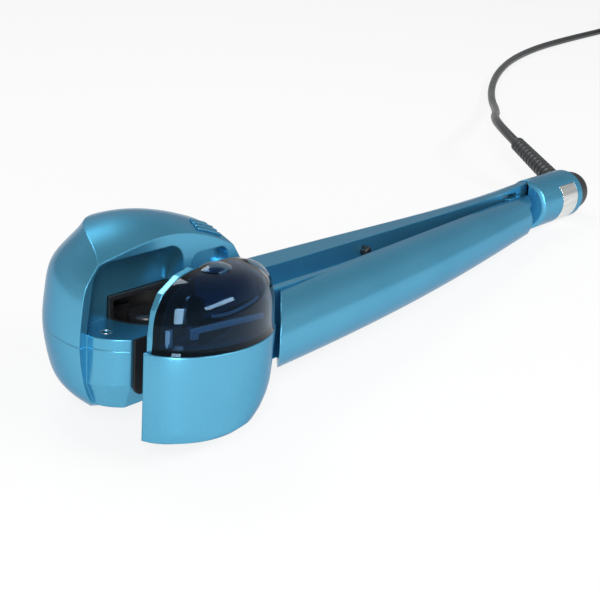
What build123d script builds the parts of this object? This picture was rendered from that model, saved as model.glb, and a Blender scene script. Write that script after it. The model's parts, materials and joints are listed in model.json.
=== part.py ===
"""Automatic steam curling machine: a main arm with a drum head and curl chamber, a hinged clamp arm with a
water tank, and a swivel cord. Millimetres.

Every piece is drawn in the device frame: origin on the drum axis at the level where the housings part, X
towards the cord, Y towards the main arm's outer side, Z up along the drum axis. The clamp arm is drawn
closed. Each piece is then set in its resting place: the clamp arm is swung open, and the device leans so
that the sole under its head and the lower edge of its collar both touch the table at Z = 0.
"""
import os
from math import atan2, ceil, cos, degrees, pi, radians, sin, sqrt, tan

from build123d import *

# Head of the main arm: a round wall under a barrelled crown and over a barrelled keel
HEAD_RADIUS = 40.0
HEAD_MIDDLE = 15.4
HEAD_REAR = 30.0
REAR_SHOULDER = 10.9
REAR_SLANT_X = 12.0
REAR_SLANT_TOP = 35.7
REAR_FILLET = 4.0
# How far the wall lies in from the head's radius, and at which height
UPPER_WALL = [(13.0, 31.7), (5.5, 21.2), (2.4, 17.0), (0.8, 10.0)]
LOWER_WALL = [(1.2, -9.0), (3.5, -16.0), (10.0, -22.2), (20.0, -30.0)]
# The crown's height along the head's middle
CROWN_CURVE = [(-44.0, 26.6), (-22.0, 28.8), (-5.0, 30.3), (8.0, 28.6), (20.0, 25.0), (34.0, 19.5)]
CROWN_AXIS = -2.4
BOWL_DEPTH = 26.2
KEEL_RADIUS = 35.6
# How far the keel rises over its deepest place, along the device
KEEL_CURVE = [(-64.0, 16.1), (-44.0, 6.9), (-24.0, 1.7), (-4.0, 0.0), (16.0, 1.7), (36.0, 6.9), (56.0, 16.1)]
WALL = 2.2
FIT = 0.15
FACE_GAP = 0.25

# Vent louvres across the slanting rear of the head
VENT_COUNT = 5
VENT_PITCH = 2.4
VENT_WIDTH = 1.1
VENT_DEPTH = 0.9
VENT_FIRST_X = 20.6
VENT_NEAR = 2.5
VENT_LENGTH = 17.0

# Cove and lower jaw
COVE_RIM = 2.6
COVE_REAR = 2.8
COVE_TOP = 23.2
COVE_ROUND = 6.0
COVE_MID_DEPTH = 3.6
COVE_MID_TOP = 19.2
COVE_DEPTH = 6.6
SLOT_ROUND = 1.0
SLOT_FRONT = -21.0
SLOT_REAR = 1.0
SLOT_TOP = 8.4
SCOOP_CENTRE = (14.0, 14.6)
SCOOP_SIZE = (17.0, 8.0)
SCOOP_DEPTH = 3.0
JAW_TOP = 3.4
JAW_REACH = 11.5
JAW_ROOT = 6.0
JAW_CREASE = 10.5
JAW_DRAW = 3.5
JAW_PLAY = 0.9
JAW_RECESS = 2.6
JAW_PIN_HOLE = (-31.5, -1.8)
JAW_PIN_HOLE_RADIUS = 1.3
JAW_PIN_HOLE_DEPTH = 2.0
LINER_THICKNESS = 0.8
LINER_DEPTH = 13.5
LINER_FRONT = -30.4
LINER_REAR = 2.4
LINER_ROUND = 3.0

# Curl chamber, core and drive
CHAMBER = (-8.0, 5.0)
CHAMBER_RADIUS = 15.0
CHAMBER_WALL = 1.5
CHAMBER_GAP = 0.7
CHAMBER_ROOF = 8.5
CHAMBER_MOUTH = 5.5
CORE_RADIUS = 6.0
CORE_TOP = 2.8
CORE_GAP = 0.5
POST_RADIUS = 4.0
POST_SEAT = 2.4
HEATER_RADIUS = 2.5
HEATER_LENGTH = 13.0
CORE_ROUND = 1.5
RUNNING_FIT = 0.06
HUB_RADIUS = 5.4
ROTOR_RADIUS = 12.8
ROTOR_DISC = 1.7
ROTOR_GAP = 0.4
HOOK_WIDTH = 1.6
HOOK_HEIGHT = 5.5
HOOK_ANGLE = 40.0
HOOK_TURN = 90.0
GEAR_MODULE = 0.7
RING_TEETH = 30
PINION_TEETH = 12
GEAR_WIDTH = 2.4
GEAR_ROOM = 0.6
GEAR_CASE_ROOM = 1.4
GEAR_STANDOFF = 2.0
GEAR_ADDENDUM = 0.9
GEAR_DEDENDUM = 1.2
TOOTH_TIP_SHARE = 0.1
TOOTH_ROOT_SHARE = 0.28
PINION_DIRECTION = 24.0
SHAFT_RADIUS = 1.0
SHAFT_DEPTH = 4.0
MOTOR_RADIUS = 6.0
MOTOR_LENGTH = 9.1
MOTOR_SEAT = 2.3
MOTOR_ROUND = 0.8
MOTOR_BOSS_RADIUS = 3.0
MOTOR_BOSS_HEIGHT = 1.0
CRADLE_WALL = 1.5
CRADLE_HEIGHT = 4.0

# Main handle sections: X, top, bottom, width of the flat top, depth, height of the fullest point
MAIN_SECTIONS = [
    (24.0, 7.4, -13.6, 10.5, 19.5, -3.0),
    (70.0, 7.2, -14.0, 9.5, 17.5, -3.2),
    (130.0, 7.0, -13.6, 6.5, 14.6, -3.0),
    (180.0, 7.6, -12.0, 3.5, 12.2, -1.8),
    (217.0, 9.6, -9.6, 1.6, 10.3, 0.0),
]

# Rear collar and swivel
COLLAR_RADIUS = 10.3
COLLAR_START = 216.6
COLLAR_END = 247.0
COLLAR_SPLIT = -5.6
COLLAR_CHAMFER = 0.8
END_WALL = 2.6
WIRE_WAY_RADIUS = 2.6
BAND_CENTRE = 235.2
BAND_WIDTH = 13.0
BAND_THICKNESS = 0.8
BAND_TOP = 7.0
STEM_RADIUS = 5.0
STEM_FLANGE_RADIUS = 6.6
STEM_FLANGE = 1.6
CAP_RADIUS = 8.4
CAP_LENGTH = 10.4
CAP_ROUND = 4.0
SWIVEL_GAP = 0.3
ELBOW_RADIUS = 4.4
RELIEF_DIRECTION = (0.5436, 0.8101, 0.2198)
RELIEF_ROOT = (252.3, 2.0, 0.0)
RELIEF_START = 11.0
RELIEF_ROOT_RADIUS = 4.0
RELIEF_TIP_RADIUS = 3.4
RIB_COUNT = 13
RIB_PITCH = 3.0
RIB_HEIGHT = 0.8
RIB_LAND = 1.4
RIB_EDGE = 0.3

# Start plunger, switches and electronics in the main handle
PLUNGER = (96.7, 2.4)
PLUNGER_RADIUS = 1.8
PLUNGER_STANDOFF = 2.6
PLUNGER_LENGTH = 9.0
PLUNGER_FLANGE = 2.4
PLUNGER_FLANGE_THICKNESS = 1.0
PLUNGER_ROUND = 1.0
SWITCH_SIZE = (12.0, 2.2, 6.0)
SWITCH_FACE = 9.2
SWITCH_FOOT = -3.4
SLIDER_X = [128.0, 146.0, 164.0]
SLIDER_NAMES = ["heat_slider", "timer_slider", "direction_slider"]
SLIDER_Z = -6.0
SLIDER_KNOB = (5.0, 3.0)
SLIDER_TRAVEL = 6.0
SLIDER_FLANGE = (10.0, 5.2)
SLIDER_FLANGE_THICKNESS = 1.0
SLIDER_RIDGES = 3
SLIDER_GROOVE = 0.5
LENS = (112.0, -6.0)
LENS_RADIUS = 1.8
BOARD_START = 106.0
BOARD_LENGTH = 60.0
BOARD_HEIGHT = 10.0
BOARD_THICKNESS = 1.6
BOARD_Y = 5.2
BOARD_FOOT = -7.6
BOARD_RIBS = [116.0, 156.0]
RIB_WIDTH = 2.0
RIB_LIP = 1.3
CHIP_PLACES = [4.0, 22.0, 44.0]
CHIP_SIZES = [(14.0, 2.4, 6.0), (16.0, 3.2, 8.0), (10.0, 2.0, 5.0)]
SCREW_PLACES = [(52.0, 8.0), (187.0, 5.8)]
SCREW_RADIUS = 1.2
SCREW_HEAD_RADIUS = 2.3
SCREW_HEAD = 1.6
SCREW_SEAT_LEVEL = -8.4
SCREW_TOP = 4.0
BOSS_RADIUS = 3.2

# Hinge
HINGE = (200.0, 3.4)
PIN_RADIUS = 2.0
PIN_BOTTOM = -9.6
PIN_TOP = 7.4
LUG_RADIUS = 4.6
LUG_HEIGHT = 3.0
LUG_LEVELS = [-7.2, 2.6]
LUG_CLEARANCE = 1.0
SPRING_WIRE = 0.7
SPRING_RADIUS = 3.3
SPRING_TURNS = 4
SPRING_PITCH = 1.25
SPRING_FOOT = -3.2
OPEN_ANGLE = 5.5

# Clamp arm: head, spine and handle
CLAMP_CENTRE = -14.0
CLAMP_LONG = 26.0
CLAMP_DEEP = 19.4
CLAMP_BOTTOM = -21.0
CLAMP_TOE_ROUND = 3.2
CLAMP_HEEL_ROUND = 17.0
CLAMP_WALL = 2.0
CLAMP_FLOOR = 1.8
DECK_BOTTOM = 3.7
DECK_TOP = 4.6
SPINE_NEAR = 0.3
SPINE_THICKNESS = 2.0
SPINE_HEAD_END = 19.0
SPINE_HANDLE_START = 13.0
RIM_WIDTH = 2.6
RIM_CURVE = [(-38.6, 9.0), (-37.4, 16.2), (-34.8, 20.4), (-27.8, 23.8), (-21.5, 24.8)]
RAIL_TOP = 5.8
BAR_TOP = 9.2
BAR_FRONT = -22.0
# Clamp handle sections: X, top, bottom, depth, height of the fullest point
CLAMP_SECTIONS = [
    (4.0, 8.0, -14.2, 14.4, -2.4),
    (60.0, 7.4, -15.2, 14.8, -3.2),
    (120.0, 6.4, -14.8, 13.8, -3.6),
    (170.0, 5.6, -13.2, 12.0, -3.4),
    (212.0, 5.0, -10.8, 10.4, -2.6),
]
CLAMP_NOSE_INNER = 27.0
CLAMP_NOSE_OUTER = 9.5
CLAMP_NOSE_REACH = 12.0
CLAMP_TAIL_RADIUS = 12.0
TAIL_RELIEF = 1.6
PAD_FRONT = -19.0
PAD_REAR = -1.0
PAD_BOTTOM = 4.2
PAD_TOP = 7.8
PAD_REACH = 4.0
PAD_ROUND = 1.2
NOZZLE = (-10.0, 6.8)
NOZZLE_RADIUS = 0.9
NOZZLE_TIP = 3.0
CLAMP_SCREW_X = [45.0, 110.0, 175.0]
CLAMP_SCREW_Z = -3.5
CLAMP_SCREW_DEPTH = 7.0
CLAMP_SCREW_HEAD = 1.2

# Water tank
TANK_BOTTOM = 4.8
TANK_LONG = 25.8
TANK_CROWN = 6.0
TANK_WALL = 1.5
TANK_CURVE = [(25.2, 11.0), (23.8, 16.8), (21.0, 20.2), (13.5, 23.6)]
TANK_TOP = 24.6
TANK_BACK = 2.5
LOBES = [(-14.5, -5.0, 19.4), (1.5, -5.0, 15.6)]
LOBE_SIZES = [(9.0, 6.2), (10.0, 6.8)]
LOBE_TURNS = [10.0, 35.0]
STOPPER = (-24.0, 13.5)
STOPPER_RADIUS = 4.0
STOPPER_DEPTH = 3.0
VALVE = (-10.0, 6.8)
VALVE_RADIUS = 1.6
VALVE_LENGTH = 3.0

# Table contact: the middle of the flat that the head stands on, and its depth under the parting level
REST_X = 9.0
REST_Y = 11.0
REST_CUT = 0.7
SOLE_LENGTH = 30.0
SOLE_WIDTH = 20.8
SOLE_ROUND = 6.0
SOLE_RISE = 6.2

# Cord, coil and plug. The routes are in the resting frame, whose origin is on the table under the head
CORD_DIAMETER = 4.4
BEND_SHARE = 0.45
CORD_LEVEL = 2.3
EXIT_STRAIGHT = 18.0
CORD_ROUTE = [
    (312.7, 67.5, 18.6),
    (358.0, 91.8, 9.6),
    (405.9, 123.2, 3.6),
    (445.2, 146.2, 2.3),
    (486.4, 165.7, 2.3),
    (531.7, 181.3, 2.3),
    (579.7, 189.4, 2.3),
    (625.8, 189.9, 2.3),
    (679.4, 187.2, 2.3),
]
COIL_START = (716.2, 186.3)
COIL_OUTER_RADIUS = 33.9
COIL_PITCH = 5.0
COIL_LAYER_TURNS = 3
COIL_LAYERS = 4
COIL_END_TURN = 12.25
LAYER_PITCH = 4.95
LEAD_STRAIGHT = 12.0
LEAD_ROUTE = [(751.8, 124.1, 13.6), (750.7, 106.1, 8.0), (750.7, 90.1, 8.0)]
PLUG_NECK_RADIUS = 3.4
PLUG_NECK_LENGTH = 10.0
PLUG_SIZE = (25.0, 24.0, 15.4)
PLUG_ROUND = 4.0
BLADE_SIZE = (1.5, 17.0, 6.3)
BLADE_SPACING = 12.7

FAR = 400.0

REST_DEPTH = BOWL_DEPTH - REST_CUT
LEAN = degrees(atan2(REST_DEPTH - COLLAR_RADIUS, COLLAR_END - COLLAR_CHAMFER - REST_X))
STAND = Rotation(0, LEAN, 0) * Pos(-REST_X, -REST_Y, REST_DEPTH)
SWING = Pos(*HINGE, 0) * Rotation(0, 0, OPEN_ANGLE) * Pos(-HINGE[0], -HINGE[1], 0)
OPENED = STAND * SWING
SPINE_FAR = SPINE_NEAR + SPINE_THICKNESS
COVE_TIP = HEAD_RADIUS - COVE_RIM
JAW_FLOOR = CLAMP_BOTTOM + CLAMP_FLOOR + JAW_PLAY

# The stack in the head, from the motor's seat in the keel up to the core
MOTOR_FOOT = WALL + MOTOR_SEAT - BOWL_DEPTH
MOTOR_TOP = MOTOR_FOOT + MOTOR_LENGTH
GEAR_FOOT = MOTOR_TOP + GEAR_STANDOFF
GEAR_TOP = GEAR_FOOT + GEAR_WIDTH
CHAMBER_FLOOR = GEAR_TOP + CHAMBER_GAP + CHAMBER_WALL
ROTOR_FLOOR = CHAMBER_FLOOR + ROTOR_GAP
CORE_FOOT = ROTOR_FLOOR + ROTOR_DISC + CORE_GAP
POST_FOOT = GEAR_FOOT - POST_SEAT

os.makedirs("parts", exist_ok=True)


def write(solid, name, placing=STAND):
    """Set a finished piece in its resting place and write it."""
    placed = solid.moved(placing)
    placed.label = name
    export_step(placed, f"parts/{name}.step")


def side_limit(inset):
    """The head's outline from the side: its rear slants down to a rounded shoulder."""
    with BuildPart() as limit:
        with BuildSketch(Plane.XZ):
            with BuildLine():
                Polyline(
                    (-FAR, -FAR),
                    (-FAR, REAR_SLANT_TOP),
                    (REAR_SLANT_X - inset, REAR_SLANT_TOP),
                    (HEAD_REAR - inset, REAR_SHOULDER),
                    (HEAD_REAR - inset, -FAR),
                    close=True,
                )
            corners = make_face().vertices()
            fillet(corners.sort_by_distance((HEAD_REAR, REAR_SHOULDER, 0))[0], REAR_FILLET)
        extrude(amount=2 * HEAD_RADIUS, both=True)
    return limit.part


def crown(inset):
    """The top of the head: a barrel about an axis along the device, fullest in the head's middle."""
    curve = [(x, top - inset) for x, top in CROWN_CURVE]
    with BuildPart() as form:
        with BuildSketch(Plane.XZ.offset(-HEAD_MIDDLE)):
            with BuildLine():
                Spline(*curve)
                Polyline(curve[-1], (curve[-1][0], CROWN_AXIS), (curve[0][0], CROWN_AXIS), curve[0])
            make_face()
        revolve(axis=Axis((0, HEAD_MIDDLE, CROWN_AXIS), (1, 0, 0)))
    return form.part


def keel(inset):
    """The underside of the head: a second barrel, with a long sweep along the device."""
    curve = [(x, inset - BOWL_DEPTH + rise) for x, rise in KEEL_CURVE]
    axis_level = KEEL_RADIUS - BOWL_DEPTH
    with BuildPart() as form:
        with BuildSketch(Plane.XZ.offset(-HEAD_MIDDLE)):
            with BuildLine():
                Spline(*curve)
                Polyline(curve[-1], (curve[-1][0], axis_level), (curve[0][0], axis_level), curve[0])
            make_face()
        revolve(axis=Axis((0, HEAD_MIDDLE, axis_level), (1, 0, 0)))
    return form.part


def drum(inset):
    """The head's whole form, or with an inset its hollow."""
    wall = [(HEAD_RADIUS - inward - inset, level) for inward, level in [*UPPER_WALL, (0, 0), *LOWER_WALL]]
    with BuildPart() as form:
        with BuildSketch(Plane.XZ):
            with BuildLine():
                Spline(*wall)
                Polyline(wall[-1], (0, wall[-1][1]), (0, wall[0][1]), wall[0])
            make_face()
        revolve(axis=Axis.Z)
        add(crown(inset), mode=Mode.INTERSECT)
        add(keel(inset), mode=Mode.INTERSECT)
        add(side_limit(inset), mode=Mode.INTERSECT)
    return form.part


def sole():
    """The flat pad under the head on which the device lies, before it is cut off level with the table."""
    with BuildPart() as form:
        with BuildSketch(Plane.XY.offset(SOLE_RISE - BOWL_DEPTH)):
            with Locations((REST_X, REST_Y)):
                RectangleRounded(SOLE_LENGTH, SOLE_WIDTH, SOLE_ROUND)
        extrude(amount=-2 * SOLE_RISE)
    return form.part


def main_handle(inset, inner):
    """The main handle: D sections with a flat top, lofted from the head to the collar."""
    with BuildPart() as form:
        for x, top, bottom, flat_top, depth, middle in MAIN_SECTIONS:
            flat = max(flat_top, inner + inset / 2)
            with BuildSketch(Plane.YZ.offset(x)):
                with BuildLine():
                    Polyline(
                        (flat, bottom + inset),
                        (inner, bottom + inset),
                        (inner, top - inset),
                        (flat, top - inset),
                    )
                    ThreePointArc((flat, top - inset), (depth - inset, middle), (flat, bottom + inset))
                make_face()
        loft()
    return form.part


def clamp_handle(inset, inner):
    """The clamp handle: rounded D sections, lofted along the arm."""
    with BuildPart() as form:
        for x, top, bottom, depth, middle in CLAMP_SECTIONS:
            with BuildSketch(Plane.YZ.offset(x)):
                with BuildLine():
                    Line((-inner, bottom + inset), (-inner, top - inset))
                    ThreePointArc((-inner, top - inset), (inset - depth, middle), (-inner, bottom + inset))
                make_face()
        loft()
    return form.part


def behind(solid, y):
    """The part of a solid beyond a plane that stands across Y."""
    with BuildPart() as form:
        add(solid)
        with Locations((0, y, 0)):
            Box(FAR, FAR, FAR, align=(Align.CENTER, Align.MAX, Align.CENTER), mode=Mode.SUBTRACT)
    return form.part


def jaw_plan(draw):
    """Plan of the lower jaw: the clamp head's ellipse drawn in, cut off at the jaw's reach."""
    with BuildSketch() as plan:
        with Locations((CLAMP_CENTRE, 0)):
            Ellipse(CLAMP_LONG - JAW_RECESS - draw, CLAMP_DEEP - JAW_RECESS - draw)
        with Locations((0, JAW_ROOT)):
            Rectangle(
                FAR,
                JAW_REACH - draw + JAW_ROOT,
                align=(Align.CENTER, Align.MAX),
                mode=Mode.INTERSECT,
            )
    return plan.sketch


def jaw():
    """The lower jaw: it reaches into the clamp head when the arms close, and tapers below a crease."""
    with BuildPart() as form:
        with BuildSketch(Plane.XY.offset(-JAW_CREASE)):
            add(jaw_plan(0))
        extrude(amount=JAW_TOP + JAW_CREASE)
        with BuildSketch(Plane.XY.offset(-JAW_CREASE)):
            add(jaw_plan(0))
        with BuildSketch(Plane.XY.offset(JAW_FLOOR)):
            add(jaw_plan(JAW_DRAW))
        loft(ruled=True)
        add(clamp_side(CLAMP_WALL + JAW_PLAY, JAW_FLOOR, JAW_TOP), mode=Mode.INTERSECT)
    return form.part


def collar():
    """The round collar at the rear of the main arm."""
    with BuildPart() as form:
        with BuildSketch(Plane.YZ.offset(COLLAR_START)):
            Circle(COLLAR_RADIUS)
        extrude(amount=COLLAR_END - COLLAR_START)
        chamfer(form.edges().group_by(Axis.X)[-1], COLLAR_CHAMFER)
    return form.part


def collar_hollow():
    """What is taken out of the collar: its inside, the swivel's bore, the wire way and the band's groove."""
    with BuildPart() as form:
        with BuildSketch(Plane.YZ.offset(COLLAR_START + WALL)):
            Circle(COLLAR_RADIUS - WALL)
        extrude(amount=COLLAR_END - END_WALL - COLLAR_START - WALL)
        with BuildSketch(Plane.YZ.offset(COLLAR_END - END_WALL)):
            Circle(STEM_RADIUS + RUNNING_FIT)
        extrude(amount=END_WALL)
        with BuildSketch(Plane.YZ.offset(COLLAR_START - WALL)):
            with Locations((COLLAR_RADIUS / 2, 0)):
                Circle(WIRE_WAY_RADIUS)
        extrude(amount=3 * WALL)
        add(band_ring(FIT))
    return form.part


def band_ring(room):
    """The C-shaped collar band, or with some room its groove."""
    with BuildPart() as form:
        with BuildSketch(Plane.YZ.offset(BAND_CENTRE - BAND_WIDTH / 2 - room)):
            Circle(COLLAR_RADIUS + room)
            Circle(COLLAR_RADIUS - BAND_THICKNESS - room, mode=Mode.SUBTRACT)
            with Locations((0, BAND_TOP + room)):
                Rectangle(FAR, FAR, align=(Align.CENTER, Align.MIN), mode=Mode.SUBTRACT)
        extrude(amount=BAND_WIDTH + 2 * room)
    return form.part


def cylinder(x, y, bottom, top, radius):
    """A standing cylinder between two levels."""
    with BuildPart() as form:
        with BuildSketch(Plane.XY.offset(bottom)):
            with Locations((x, y)):
                Circle(radius)
        extrude(amount=top - bottom)
    return form.part


def rod(x, z, near, far, radius):
    """A cylinder lying along Y, from its near to its far Y."""
    with BuildPart() as form:
        with BuildSketch(Plane.XZ.offset(-near)):
            with Locations((x, z)):
                Circle(radius)
        extrude(amount=near - far)
    return form.part


def block(low, high):
    """A box between two corners."""
    with BuildPart() as form:
        with Locations(low):
            Box(*[b - a for a, b in zip(low, high)], align=(Align.MIN, Align.MIN, Align.MIN))
    return form.part


def cove():
    """The concave mouth of the curl chamber in the head's inner face."""
    stages = [
        (-FACE_GAP, -COVE_TIP, COVE_REAR, COVE_TOP, COVE_ROUND),
        (COVE_MID_DEPTH, -COVE_TIP + COVE_MID_DEPTH, COVE_REAR, COVE_MID_TOP, COVE_ROUND),
        (COVE_DEPTH, SLOT_FRONT, SLOT_REAR, SLOT_TOP, SLOT_ROUND),
    ]
    with BuildPart() as form:
        for y, front, rear, top, corner in stages:
            with BuildSketch(Plane.XZ.offset(-y)):
                with BuildLine():
                    Polyline(
                        (front, JAW_TOP),
                        (front + corner / 2, top),
                        (rear - corner / 5, top),
                        (rear, JAW_TOP),
                        close=True,
                    )
                corners = make_face().vertices().group_by(Axis.Y)[-1]
                fillet(corners, corner)
        loft()
    return form.part


def parting_region():
    """Everything above the surface where the housings part; it steps down along the collar."""
    with BuildPart() as region:
        with BuildSketch(Plane.XZ):
            with BuildLine():
                Polyline(
                    (-FAR, 0),
                    (COLLAR_START - COLLAR_RADIUS, 0),
                    (COLLAR_START, COLLAR_SPLIT),
                    (FAR, COLLAR_SPLIT),
                    (FAR, FAR),
                    (-FAR, FAR),
                    close=True,
                )
            make_face()
        extrude(amount=FAR, both=True)
    return region.part


def inner_openings():
    """What both housings leave open: hinge slots, pin, plunger, sliders, lens, screws, curl chamber."""
    wall_near = FACE_GAP - 1
    wall_far = FACE_GAP + WALL
    with BuildPart() as form:
        add(cylinder(*HINGE, PIN_BOTTOM, PIN_TOP, PIN_RADIUS))
        for level in LUG_LEVELS:
            with Locations((HINGE[0], wall_near, level - LUG_CLEARANCE)):
                Box(
                    2 * (LUG_RADIUS + LUG_CLEARANCE),
                    HINGE[1] + LUG_RADIUS + LUG_CLEARANCE - wall_near,
                    LUG_HEIGHT + 2 * LUG_CLEARANCE,
                    align=(Align.CENTER, Align.MIN, Align.MIN),
                )
        add(rod(*PLUNGER, wall_near, wall_far, PLUNGER_RADIUS + RUNNING_FIT))
        add(rod(*LENS, wall_near, wall_far, LENS_RADIUS))
        for x in SLIDER_X:
            with Locations((x, wall_near, SLIDER_Z)):
                Box(
                    SLIDER_KNOB[0] + SLIDER_TRAVEL + 2 * FIT,
                    wall_far - wall_near,
                    SLIDER_KNOB[1] + 2 * FIT,
                    align=(Align.CENTER, Align.MIN, Align.CENTER),
                )
        for x, y in SCREW_PLACES:
            add(cylinder(x, y, -FAR, SCREW_SEAT_LEVEL, SCREW_HEAD_RADIUS + FIT))
            add(cylinder(x, y, SCREW_SEAT_LEVEL, SCREW_TOP, SCREW_RADIUS))
        add(cylinder(*CHAMBER, CHAMBER_FLOOR - CHAMBER_WALL - FIT, JAW_TOP, CHAMBER_RADIUS + FIT))
        add(cylinder(*CHAMBER, GEAR_FOOT - GEAR_ROOM, CHAMBER_FLOOR, GEAR_CASE_RADIUS))
        add(cylinder(*CHAMBER, POST_FOOT, CHAMBER_FLOOR, POST_RADIUS))
        add(cylinder(*HINGE, LUG_LEVELS[0], LUG_LEVELS[1], SPRING_RADIUS + LUG_CLEARANCE))
    return form.part


def screw_bosses():
    """Posts for the housing screws, kept inside the handle's skin."""
    with BuildPart() as form:
        for x, y in SCREW_PLACES:
            add(cylinder(x, y, -2 * COLLAR_RADIUS, 2 * COLLAR_RADIUS, BOSS_RADIUS))
        add(main_handle(FACE_GAP, FACE_GAP), mode=Mode.INTERSECT)
    return form.part


def head_fittings():
    """Inside the bowl: the core's boss and the ring that holds the motor, kept inside the bowl's skin."""
    with BuildPart() as form:
        add(cylinder(*CHAMBER, -BOWL_DEPTH, POST_FOOT, POST_RADIUS + FIT))
        add(cylinder(*PINION, -BOWL_DEPTH, MOTOR_FOOT + CRADLE_HEIGHT, MOTOR_RADIUS + FIT + CRADLE_WALL))
        add(cylinder(*PINION, MOTOR_FOOT, FAR, MOTOR_RADIUS + FIT), mode=Mode.SUBTRACT)
        add(drum(WALL / 2), mode=Mode.INTERSECT)
    return form.part


def handle_fittings():
    """The ribs under the board and the post under the switch, kept inside the handle's skin."""
    with BuildPart() as form:
        for x in BOARD_RIBS:
            with Locations((x, BOARD_Y - RIB_LIP, BOARD_FOOT)):
                Box(RIB_WIDTH, BOARD_THICKNESS + 2 * RIB_LIP, FAR, align=(Align.CENTER, Align.MIN, Align.MAX))
        with Locations((PLUNGER[0], SWITCH_FACE, SWITCH_FOOT)):
            Box(SWITCH_SIZE[2], SWITCH_SIZE[1], FAR, align=(Align.CENTER, Align.MIN, Align.MAX))
        add(main_handle(WALL / 2, FACE_GAP), mode=Mode.INTERSECT)
    return form.part


def turn_station(centre, angle, radius, radial_rise, level_rise, sense):
    """A point of a winding and its direction; the rises are in mm a turn, the sense is -1 for clockwise."""
    out = Vector(cos(radians(angle)), sin(radians(angle)), 0)
    along = Vector(-out.Y, out.X, 0) * sense
    course = along * (2 * pi * radius) + out * radial_rise + Vector(0, 0, level_rise)
    return Vector(*centre) + out * radius, course.normalized()


def wind(stations):
    """Join stations with biarcs: two tangent arcs for each step."""
    for (start, first), (end, last) in zip(stations, stations[1:]):
        chord = end - start
        both = first + last
        bend = 2 * (1 - first.dot(last))
        cross = chord.dot(both)
        reach = (sqrt(cross**2 + bend * chord.dot(chord)) - cross) / bend
        middle = (start + end + (first - last) * reach) * 0.5
        TangentArc(start, middle, tangent=first)
        TangentArc(middle, end, tangent=chord - both * reach)


def bend_radii(route):
    """The largest radius for each corner of a cord's route."""
    radii = []
    for before, corner, after in zip(route, route[1:], route[2:]):
        inward = Vector(*corner) - Vector(*before)
        outward = Vector(*after) - Vector(*corner)
        shorter = min(inward.length, outward.length)
        radii.append(BEND_SHARE * shorter / tan(radians(inward.get_angle(outward)) / 2))
    return radii


def cord_along(path):
    """A round cord swept along a path."""
    with BuildPart() as form:
        with BuildSketch(Plane(path @ 0, z_dir=path % 0)):
            Circle(CORD_DIAMETER / 2)
        sweep(path=path)
    return form.part


def clamp_side(inset, floor, top):
    """The clamp head's outline from the side, with a rounded toe and heel, run across the device."""
    front = CLAMP_CENTRE - CLAMP_LONG + inset
    rear = CLAMP_CENTRE + CLAMP_LONG - inset
    toe = CLAMP_TOE_ROUND - inset / 2
    heel = CLAMP_HEEL_ROUND - inset
    with BuildPart() as form:
        with BuildSketch(Plane.XZ):
            with BuildLine():
                Polyline((front, floor + toe), (front, top), (rear, top), (rear, floor + heel))
                RadiusArc((rear, floor + heel), (rear - heel, floor), heel)
                Line((rear - heel, floor), (front + toe, floor))
                RadiusArc((front + toe, floor), (front, floor + toe), toe)
            make_face()
        extrude(amount=FAR, both=True)
    return form.part


def clamp_body(inset, floor, top):
    """The clamp head's form: half an ellipse in plan, within its outline from the side."""
    with BuildPart() as form:
        with BuildSketch(Plane.XY.offset(floor)):
            with Locations((CLAMP_CENTRE, 0)):
                Ellipse(CLAMP_LONG - inset, CLAMP_DEEP - inset)
            Rectangle(FAR, FAR, align=(Align.CENTER, Align.MIN), mode=Mode.SUBTRACT)
        extrude(amount=top - floor)
        add(clamp_side(inset, floor, top), mode=Mode.INTERSECT)
    return form.part


def tail_plan(radius):
    """Plan of the clamp arm's length, with a tail rounded about the hinge."""
    with BuildPart() as form:
        with BuildSketch(Plane.XY.offset(-FAR / 2)):
            with Locations((HINGE[0], 0)):
                Rectangle(FAR, FAR, align=(Align.MAX, Align.CENTER))
            with Locations(HINGE):
                Circle(radius)
        extrude(amount=FAR)
    return form.part


def nose_region(extra):
    """What lies in front of the handle's oblique nose, or with some extra its end wall too."""
    slant = (CLAMP_NOSE_INNER - CLAMP_NOSE_OUTER) / CLAMP_NOSE_REACH
    with BuildPart() as form:
        with BuildSketch(Plane.XY.offset(-FAR / 2)):
            with BuildLine():
                Polyline(
                    (-FAR, CLAMP_NOSE_REACH),
                    (CLAMP_NOSE_INNER + extra + slant * CLAMP_NOSE_REACH, CLAMP_NOSE_REACH),
                    (CLAMP_NOSE_OUTER + extra - slant * CLAMP_NOSE_REACH, -2 * CLAMP_NOSE_REACH),
                    (-FAR, -2 * CLAMP_NOSE_REACH),
                    close=True,
                )
            make_face()
        extrude(amount=FAR)
    return form.part


def handle_hollow():
    """The inside of the clamp handle, open towards the spine, with posts left for its screws."""
    with BuildPart() as form:
        add(clamp_handle(CLAMP_WALL, SPINE_FAR))
        add(tail_plan(CLAMP_TAIL_RADIUS - CLAMP_WALL), mode=Mode.INTERSECT)
        add(nose_region(CLAMP_WALL), mode=Mode.SUBTRACT)
        for x in CLAMP_SCREW_X:
            add(rod(x, CLAMP_SCREW_Z, -2 * CLAMP_NOSE_REACH, 0, BOSS_RADIUS), mode=Mode.SUBTRACT)
    return form.part


def spheroid(long, deep):
    """A rounded lobe, long in X."""
    with BuildPart() as form:
        with BuildSketch(Plane.XZ):
            Ellipse(long, deep)
            Rectangle(FAR, FAR, align=(Align.CENTER, Align.MAX), mode=Mode.SUBTRACT)
        revolve(axis=Axis.X)
    return form.part


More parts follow.
